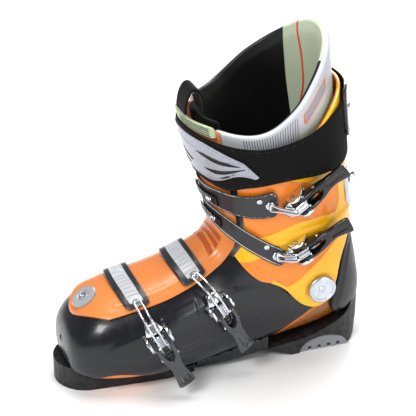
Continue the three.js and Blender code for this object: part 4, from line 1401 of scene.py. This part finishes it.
def tube(name, matrix, points, radius, sides=12, steps=6):
    """A round wire along a smooth path through the points."""
    path = through(matrix, rounded(points, False, steps))
    tangent = np.gradient(path, axis=0)
    tangent /= np.linalg.norm(tangent, axis=1)[:, None]
    normal = np.cross(tangent[0], [0.3, 0.5, 0.81])
    normal /= np.linalg.norm(normal)
    rings = []
    for p, d in zip(path, tangent):
        normal = normal - d * (normal @ d)
        normal /= np.linalg.norm(normal)
        side = np.cross(d, normal)
        for k in range(sides):
            a = 2 * math.pi * k / sides
            rings.append(p + radius * (math.cos(a) * normal + math.sin(a) * side))
    return ring_mesh(name, rings, sides, 50)


# ---- Buckles.
PIN_HEIGHT = 6.0
LEVER_HALF = 9.7
CHEEK_IN, CHEEK_OUT = 10.2, 13.2
EYE = (-8.0, 12.0)
BUCKLES = {
    "toe": dict(band="ladder_toe", pin=(3.7, 80), aim=(3.25, 38), hook=38.5, cuff=False),
    "instep": dict(band="ladder_instep", pin=(5.62, 78), aim=(5, 38), hook=38.5, cuff=False),
    "lower_cuff": dict(band="plate_lower", pin=(10.5, 89), aim=(7.7, 71), hook=73, cuff=True),
    "upper_cuff": dict(band="plate_upper", pin=(12.8, 94), aim=(10.7, 64), hook=73, cuff=True),
}
# Outlines in each buckle's own frame: x towards the hook from the pin, y across, z outwards.
LEVER_PLAN = [
    (4.4, -9.4), (4.4, 9.4), (-10, 9.6), (-26, 8.6), (-34, 7.0), (-42, 7.2), (-52, 8.8),
    (-57.5, 9.0), (-58.4, 4), (-58.4, -4), (-57.5, -9.0), (-52, -8.8), (-42, -7.2),
    (-34, -7.0), (-26, -8.6), (-10, -9.6),
]
SLOT_PLAN = [(12, -5.6), (12, 5.6), (-18, 5.6), (-25, 3.6), (-28, 0), (-25, -3.6), (-18, -5.6)]
lever_outline = outline_field(LEVER_PLAN)
slot_outline = outline_field(SLOT_PLAN, 0)
LEVER_TOP = [
    (-59, 12.6), (-50, 11.0), (-40, 10.2), (-30, 11.6), (-20, 14.2), (-8, 15.6), (0, 10.8),
    (4.8, 8.0),
]
LEVER_UNDER = [
    (-59, 9.4), (-50, 6.6), (-40, 5.4), (-30, 4.8), (-10, 4.6), (-4, 2.4), (0, 1.7), (4.8, 4.9),
]


def profile(rows, x):
    """A softened line through rows of (x, height)."""
    xs, zs = [r[0] for r in rows], [r[1] for r in rows]
    fine = np.linspace(xs[0], xs[-1], 120)
    line = np.interp(fine, xs, zs)
    kernel = np.ones(7) / 7
    padded = np.concatenate([np.full(3, line[0]), line, np.full(3, line[-1])])
    return np.interp(x, fine, np.convolve(padded, kernel, "valid"))


def lever_field(x, y):
    return np.minimum(lever_outline(x, y), -slot_outline(x, y))


def lever_groove(x, y):
    """A long finger groove down the grip."""
    return np.minimum(3.2 - np.abs(y), np.minimum(-33 - x, x + 55))


CHEEK_SHAPE = [(-14, -3), (-14, 3), (-8, 11), (-2, 13), (4, 11.4), (7.2, 7), (7.4, -3)]
SNOUT_PLAN = [(6.2, -9), (6.2, 9), (12, 8.4), (16.5, 5.4), (18, 0), (16.5, -5.4), (12, -8.4)]
BASE_PLAN = [(8, -13), (8, 13), (-12, 13), (-16, 9), (-25, 6), (-25, -6), (-16, -9), (-12, -13)]
SHORT_BASE_PLAN = [(8, -13), (8, 13), (-12, 13), (-14, 7), (-14, -7), (-12, -13)]
cheek_outline = outline_field(CHEEK_SHAPE)
snout_field = outline_field(SNOUT_PLAN)
# Where the lever's nose swings past, the plate is open.
nose_window = outline_field([(-7, -10), (-7, 10), (7, 10), (7, -10)], 0)
mid_rail = outline_field([(-25, -3), (-25, 3), (-3, 3), (-3, -3)], 0)


def cheek_field(x, z):
    """A cheek with a hole for the pin."""
    return np.minimum(cheek_outline(x, z), np.hypot(x, z - PIN_HEIGHT) - 2.2)


def rail_gaps(x, y):
    return 0.9 - np.abs((x % 4.4) - 2.2)


def snout_top(x, y):
    return 8.4 * np.sqrt(np.clip(1 - ((x - 5) / 15) ** 2, 0.06, 1)) - 0.02 * y**2


def lever_top(x, y):
    return profile(LEVER_TOP, x) - 0.9 * (y / LEVER_HALF) ** 2


def lever_under(x, y):
    return profile(LEVER_UNDER, x)


def hook_frame(spec):
    """The frame of the hook on the strap, turned towards the buckle."""
    return band_frame(BANDS[spec["band"]], spec["hook"], *spec["pin"])


def bail_route(turn, hooked):
    """From one eye of the lever, out to the hook and back, in the buckle's frame."""
    inverse = np.linalg.inv(turn)
    end = (inverse @ hooked @ np.array([0, 0, 2.8, 1]))[:3]
    across = inverse[:3, :3] @ hooked[:3, 1]
    if across[1] < 0:
        across = -across
    w, reach = 3.4, LEVER_HALF - 0.6
    bulge = max(0, (end[0] - 20) * 0.35)

    def half(side):
        return [
            [EYE[0], side * reach, EYE[1]], [EYE[0], side * (w + 1.2), EYE[1]],
            [EYE[0] + 1.4, side * w, EYE[1]], [5, side * w, EYE[1]], [8, side * w, EYE[1] - 0.6],
            [mix(7, end[0], 0.55), end[1] * 0.55 + side * w, mix(EYE[1], end[2], 0.55) + bulge],
            (np.array([mix(7, end[0], 0.94), end[1] * 0.94, mix(EYE[1], end[2], 0.85)])
             + side * w * across).tolist(),
            (end + across * side * (w - 1.2)).tolist(),
        ]

    return half(1) + half(-1)[::-1]


def axis_frame(turn, x, y, z):
    """A frame whose Z runs along the buckle's Y, for pins and rivets."""
    local = np.eye(4)
    local[:3, 1], local[:3, 2], local[:3, 3] = (0, 0, -1), (0, 1, 0), (x, y, z)
    return turn @ local


PIN_PROFILE = [
    (0.05, -14.4), (2.6, -14.2), (3.0, -13.4), (2.0, -13.3), (2.0, 13.3), (3.0, 13.4),
    (2.6, 14.2), (0.05, 14.4),
]
EYELET_PROFILE = [(2.6, -1.0), (4.4, -1.0), (4.6, 0.5), (4.2, 0.9), (3.0, 0.9), (2.6, 0.4)]
THREAD_RIDGES = [(2.9 - 0.4 * (k % 2), -6.5 + k * 0.8) for k in range(15)]
THREAD_PROFILE = [(0.05, -7), (2.6, -6.9)] + THREAD_RIDGES + [(2.4, 5.6), (0.05, 5.8)]
# The thread's axis lies along the buckle's x, at the height of the bail's eyes.
THREAD_FRAME = np.array([[0, 0, 1, -1], [0, 1, 0, 0], [-1, 0, 0, EYE[1]], [0, 0, 0, 1.0]])

clear_lever = plastic("clear_lever", (58, 60, 64), 0.14, 0.7, 700, 0.00004)
wear(clear_lever, (170, 172, 176), 0.6)

for name, spec in BUCKLES.items():
    host = "cuff_assembly" if spec["cuff"] else "shell"
    out = (CUFF_OUT if spec["cuff"] else 0.0) + SOLE_GAP
    turn = fitting_frame(*spec["pin"], out, *spec["aim"])
    hooked = hook_frame(spec)
    title = "buckle_" + name
    lever = skin_piece(
        title + "_lever_body", (-59.5, 6.4), (-10.4, 10.4), (0.8, 0.8), lever_field, lever_under,
        lever_top, 1.1, features=[(lever_groove, 1.2, -0.8)], surface=flat, matrix=turn,
    )
    lever_look = black_look if spec["cuff"] else clear_lever
    finish_piece(lever, lever_look, name + "_lever", title + "_lever")
    rail = skin_piece(
        title + "_rail", (-26, -2), (-3.4, 3.4), (0.7, 0.7), mid_rail, 3.2, 7.2, 0.4,
        features=[(rail_gaps, 0.4, -1.0)], surface=flat, matrix=turn,
    )
    finish_piece(rail, black_look, host)
    for side, letter, low, high in (
        (1, "a", -CHEEK_OUT, -CHEEK_IN), (-1, "b", CHEEK_IN, CHEEK_OUT)
    ):
        cheek = skin_piece(
            "%s_cheek_%s" % (title, letter), (-15, 8.4), (-4, 14), (0.8, 0.8), cheek_field,
            low, high, 0.8, surface=upright, matrix=turn,
        )
        finish_piece(cheek, chrome_look, host)
        for x, z, radius in ((-22, 9.0, 1.7), (-8, 12, 1.6)):
            turned(
                "%s_lever_rivet_%s%d" % (title, letter, -x),
                axis_frame(turn, x, side * (LEVER_HALF - 1.3), z),
                [
                    (radius, -1.5 * side), (radius, 1.2 * side), (radius * 0.7, 1.7 * side),
                    (0.05, 1.8 * side),
                ],
                20, chrome_look, name + "_lever",
            )
    snout = skin_piece(
        title + "_snout", (6, 18.6), (-9.6, 9.6), (0.6, 0.6), snout_field, -3.5, snout_top, 1.4,
        surface=flat, matrix=turn,
    )
    finish_piece(snout, chrome_look, host)
    plan = outline_field(SHORT_BASE_PLAN if name == "upper_cuff" else BASE_PLAN, 0)
    base = skin_piece(
        title + "_plate", (-26, 9), (-14, 14), (1.0, 1.0), both(plan, negative(nose_window)),
        -3.5, 0.9, 0.6, surface=flat, matrix=turn,
    )
    finish_piece(base, pin_look, host, title + "_base")
    turned(
        title + "_pin_turned", axis_frame(turn, 0, 0, PIN_HEIGHT), PIN_PROFILE, 24, pin_look, host,
        title + "_pin",
    )
    bail = tube(title + "_bail_wire", turn, bail_route(turn, hooked), 1.35)
    finish_piece(bail, chrome_look, name + "_bail", title + "_bail")
    turned(
        title + "_bail_thread", turn @ THREAD_FRAME, THREAD_PROFILE, 24, chrome_look,
        name + "_bail",
    )
    turned(title + "_eyelet", hooked, EYELET_PROFILE, 28, chrome_look, host)

# ---- Round fittings.
for name, side in (("pivot_lateral", 1), ("pivot_medial", -1)):
    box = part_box(name)
    reach = (box[1].x if side > 0 else -box[0].x) / MM - side * shift.x / MM
    turn = np.eye(4)
    turn[:3, 0], turn[:3, 1], turn[:3, 2] = (0, 1, 0), (0, 0, 1), (1, 0, 0)
    turn[:3, 3] = (0, PIVOT[0], PIVOT[1])
    if side < 0:
        turn[:3, 1], turn[:3, 2] = (0, 0, -1), (-1, 0, 0)
    turned(
        name + "_disc", turn,
        [
            (0.05, 38.9), (6, 39), (6, 48), (14.6, 48), (15, 48.6), (15, reach - 1.4),
            (14.3, reach - 0.5), (13.2, reach - 0.1), (11.4, reach - 0.1), (11.0, reach - 0.7),
            (4.4, reach - 0.7), (4.0, reach - 0.1), (2.2, reach - 0.1), (1.8, reach - 0.9),
            (0.05, reach - 0.9),
        ],
        56, silver_look, "shell", name,
    )
    for k, angle in enumerate((60, 240)):
        a = math.radians(angle)
        spot = turn @ np.array([7.7 * math.cos(a), 7.7 * math.sin(a), 0, 1])
        hole_turn = turn.copy()
        hole_turn[:3, 3] = spot[:3]
        turned(
            "%s_spanner_hole_%d" % (name, k), hole_turn,
            [
                (0.05, 47), (1.5, 47), (1.5, reach - 0.6), (1.1, reach - 0.75),
                (0.05, reach - 0.8),
            ],
            20, pin_look, "shell",
        )

bolt_turn = fitting_frame(13.5, 176, SPINE_IN + SPINE_WALL, 15, 176)
clip_turn = fitting_frame(15.8, 160, STRAP_OUT + CLIP_HEIGHT, 17, 160)
hinge_turn = fitting_frame(1.95, 2, TONGUE_OUT, 3, 2)
WASHER_PROFILE = [(0.05, -1.5), (8, -1.5), (8.2, 0.4), (7.6, 1.9), (6.4, 2.4), (0.05, 2.4)]
HINGE_PROFILE = [
    (0.05, -4.5), (13.4, -4.5), (14, -1.5), (14, 1.2), (13.2, 2.3), (11.8, 2.6), (7.6, 2.6),
    (6.8, 1.8), (5.2, 1.5), (0.05, 1.5),
]
turned(
    "spine_washer_turned", bolt_turn, WASHER_PROFILE, 40, black_look, "cuff_assembly",
    "spine_washer",
)
turned(
    "spine_bolt_turned", bolt_turn, screw_profile(5, 2.7, 9, 2.4, 2.5), 36, chrome_look,
    "cuff_assembly", "spine_bolt",
)
turned(
    "strap_clip_screw_turned", clip_turn, screw_profile(4.5, -1.5, 1.9, 2.0, 1.5), 32, chrome_look,
    "cuff_assembly", "strap_clip_screw",
)
turned(
    "tongue_hinge_disc", hinge_turn, HINGE_PROFILE, 48, clear_look, "shell",
    "tongue_hinge_plate",
)
turned(
    "tongue_hinge_screw_turned", hinge_turn, screw_profile(4.5, 1.4, 3.3, 2.0, 1.4), 32,
    chrome_look, "shell", "tongue_hinge_screw",
)
for name, band in BANDS.items():
    at = band["ends"][0] + 9
    turn = band_frame(band, at, float(band_centre(band, 0)), 0)
    body = "shell" if band["shell"] else "cuff_assembly"
    turned(
        name + "_rivet_turned", turn, screw_profile(4.4, -1.5, 1.8, 1.6, 0.6), 30, chrome_look,
        body, name + "_rivet",
    )
    if not band["shell"]:
        turned(
            name + "_stud", band_frame(band, 66, 12, 66, 0.33),
            screw_profile(2.9, -1.0, 1.3, 1.2, 0.4), 28, chrome_look, body,
        )

# ---- Toothed blocks at the front of the strap plates.
BLOCK_END, BLOCK_HEIGHT = 29, 3.4
for key, start in (("upper", -22), ("lower", -18)):
    band = BANDS["plate_" + key]

    def block_field(t, a, band=band, start=start):
        b = signed(a)
        share = (t - band_centre(band, b)) / band["half"]
        across = np.minimum(share + 0.75, 0.1 - share) * band["half"] * per_t(t, a)
        return np.minimum(across, np.minimum(b - start, BLOCK_END - b) * per_a(t, a))

    def block_teeth(t, a, start=start):
        b = signed(a)
        ends = np.minimum(b - start - 2, 14 - b) * per_a(t, a)
        return np.minimum(1.0 - beat(t, a, 4.0), ends)

    low = math.floor(band["t"] - 1)
    block_in = BAND_IN + STRAP_WALL + SOLE_GAP
    block = skin_piece(
        "ratchet_block_%s_body" % key, (low, low + 3), (start - 3, BLOCK_END + 3), (0.025, 0.8),
        block_field, block_in, block_in + BLOCK_HEIGHT, 0.7, features=[(block_teeth, 0.6, -1.6)],
    )
    finish_piece(block, black_look, "cuff_assembly", "ratchet_block_" + key)
    t = float(band_centre(band, 20)) - 0.33 * band["half"]
    turn = fitting_frame(t, 20, block_in + BLOCK_HEIGHT, t + 1, 20)
    turned(
        "ratchet_screw_%s_turned" % key, turn, screw_profile(3.4, -1.0, 1.9, 1.5, 1.2), 28,
        chrome_look, "cuff_assembly", "ratchet_screw_" + key,
    )


# ---- Woven pull loop over the tongue.
LOOP_HALF, LOOP_HEIGHT, LOOP_WALL, LOOP_LENGTH = 11, 26, 1.3, 60


def loop_surface(s, x, offset):
    """s runs 0 to 1 round the arch, x across the webbing."""
    s, x, offset = np.broadcast_arrays(s, x, offset)
    foot = skin(15.3, 0.0)
    angle = math.pi * s
    y = foot[1] + 4 + (LOOP_HALF - LOOP_WALL + offset) * np.cos(angle)
    z = foot[2] + 1.2 + (LOOP_HEIGHT - LOOP_WALL + offset) * np.sin(angle)
    return np.stack([x + 4, y, z], -1).astype(float)


def loop_field(s, x):
    return np.minimum(13 - np.abs(x), np.minimum(s, 1 - s) * LOOP_LENGTH + 0.01)


pull_loop = skin_piece(
    "pull_loop_webbing", (0.0, 1.0), (-14, 14), (0.02, 0.8), loop_field, -1.2, 1.3, 0.7,
    surface=loop_surface,
)
# Along the webbing first, as in the other woven pieces.
for corner in pull_loop.data.uv_layers["UVMap"].data:
    corner.uv = (corner.uv[1], corner.uv[0] * LOOP_LENGTH)
finish_piece(pull_loop, loop_look, "cuff_assembly", "pull_loop")


# ---- The shell's low arch between the sole blocks.
ARCH_PLAN = [
    (-27, -19.5), (32, -19.5), (33.5, 10), (34.5, 35), (34.8, 60.4), (-33.8, 60.4), (-31, 35),
    (-28, 10),
]
ARCH_LINE = [(-20, 2), (16, 4), (45, 8.5), (60, 12.2)]
under_t, under_a = np.meshgrid(np.arange(1.0, 12.0, 0.1), np.arange(0.0, 360.0, 3.0))
under_skin = skin(under_t.ravel(), under_a.ravel(), -1.5)
under_skin = under_skin[(under_skin[:, 2] < 60) & (np.abs(under_skin[:, 1] - 20) < 50)]


def under_shell(x, y):
    """How high the shell's underside is over a point of the floor."""
    x, y = np.broadcast_arrays(x, y)
    made = np.empty(x.size)
    for i, (px, py) in enumerate(zip(x.ravel(), y.ravel())):
        away = np.hypot(under_skin[:, 0] - px, under_skin[:, 1] - py)
        made[i] = under_skin[np.argsort(away)[:8], 2].min()
    return made.reshape(x.shape)


def arch_bottom(x, y):
    rows = np.array(ARCH_LINE, float)
    edge = np.clip(-arch_field(x, y) + 4, 0, 4) * 0.4
    return np.interp(y, rows[:, 0], rows[:, 1]) + edge


arch_field = outline_field(ARCH_PLAN, 0)
shell_arch = skin_piece(
    "shell_arch_body", (-36, 38), (-22, 61), (2.0, 2.0), arch_field, arch_bottom, under_shell, 1.0,
    surface=flat, zones={"inlay": lambda x, y: -9.0 + 0 * x, "shade": lambda x, y: 0 * x},
)
finish_piece(shell_arch, shell_look, "shell", "lower_shell")


# ---- Materials for the CAD nodes that stay: the soles, the board and their screws.
EDGE_ANGLE = 32


def keep_node(name, look, bevel=0.0, segments=3):
    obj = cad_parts[name]
    obj.data.materials.clear()
    obj.data.materials.append(look.material)
    if bevel:
        made = obj.modifiers.new("bevel", "BEVEL")
        made.width = bevel * MM
        made.segments = segments
        made.limit_method = "ANGLE"
        made.angle_limit = math.radians(EDGE_ANGLE)
        made.harden_normals = False
    smooth_shade(obj, EDGE_ANGLE)


keep_node("toe_sole", rubber_look, 1.0)
keep_node("heel_sole", rubber_look, 1.0)
keep_node("heel_tread", tread_look, 0.7)
keep_node("boot_board", board_look)
keep_node("insole", foam_look)
for block in ("toe", "heel"):
    for k in (1, 2):
        keep_node("%s_sole_screw_%d" % (block, k), pin_look, 0.3, 2)


# ---- Camera at the photograph's angle, soft studio light and a pale floor.
AZIMUTH, ELEVATION, DISTANCE = math.radians(70.5), math.radians(27.5), 1.5
LENS, LENS_SHIFT = 126.5625, (1 / 104, 3 / 52)


def studio():
    """The camera, four soft lamps, the world's light and the floor."""
    level = math.cos(ELEVATION)
    back = Vector((math.sin(AZIMUTH) * level, -math.cos(AZIMUTH) * level, math.sin(ELEVATION)))
    target = Vector(place([0, 0, 145]))
    data = bpy.data.cameras.new("camera")
    data.lens, data.sensor_width = LENS, 36
    data.shift_x, data.shift_y = LENS_SHIFT
    data.clip_start, data.clip_end = 0.05, 20
    camera = bpy.data.objects.new("camera", data)
    bpy.context.scene.collection.objects.link(camera)
    camera.location = target + back * DISTANCE
    camera.rotation_mode = "QUATERNION"
    camera.rotation_quaternion = (-back).to_track_quat("-Z", "Y")
    bpy.context.scene.camera = camera

    def lamp(name, spot, aim, size, power):
        light = bpy.data.lights.new(name, "AREA")
        light.shape = "RECTANGLE"
        light.size, light.size_y = size
        light.energy = power
        obj = bpy.data.objects.new(name, light)
        bpy.context.scene.collection.objects.link(obj)
        obj.location = spot
        obj.rotation_mode = "QUATERNION"
        obj.rotation_quaternion = (Vector(aim) - Vector(spot)).to_track_quat("-Z", "Y")

    lamp("key", (0.9, -1.2, 1.5), (0, 0, 0.15), (0.7, 0.7), 24)
    lamp("side", (1.5, 0.9, 0.7), (0, 0, 0.15), (0.35, 1.1), 9)
    lamp("top", (-0.2, 0.1, 1.7), (0, 0, 0.2), (1.0, 1.0), 20)
    lamp("rim", (-1.2, 0.9, 0.9), (0, 0, 0.2), (0.6, 1.2), 12)
    world = bpy.data.worlds.new("studio")
    world.use_nodes = True
    glow = world.node_tree.nodes["Background"]
    glow.inputs[0].default_value = (1, 1, 1, 1)
    glow.inputs[1].default_value = 0.32
    bpy.context.scene.world = world
    floor = make_mesh("floor", [(-6, -6, 0), (6, -6, 0), (6, 6, 0), (-6, 6, 0)], [(0, 1, 2, 3)])
    pale = Look("floor_paper", (246, 246, 246), 0.7)
    pale.vary(pale.noise(3, 2), 0.985, 1.0)
    floor.data.materials.append(pale.material)
    floor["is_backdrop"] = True
    bpy.context.scene.view_settings.view_transform = "Standard"
    bpy.context.scene.view_settings.gamma = 0.9


studio()

low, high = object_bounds()
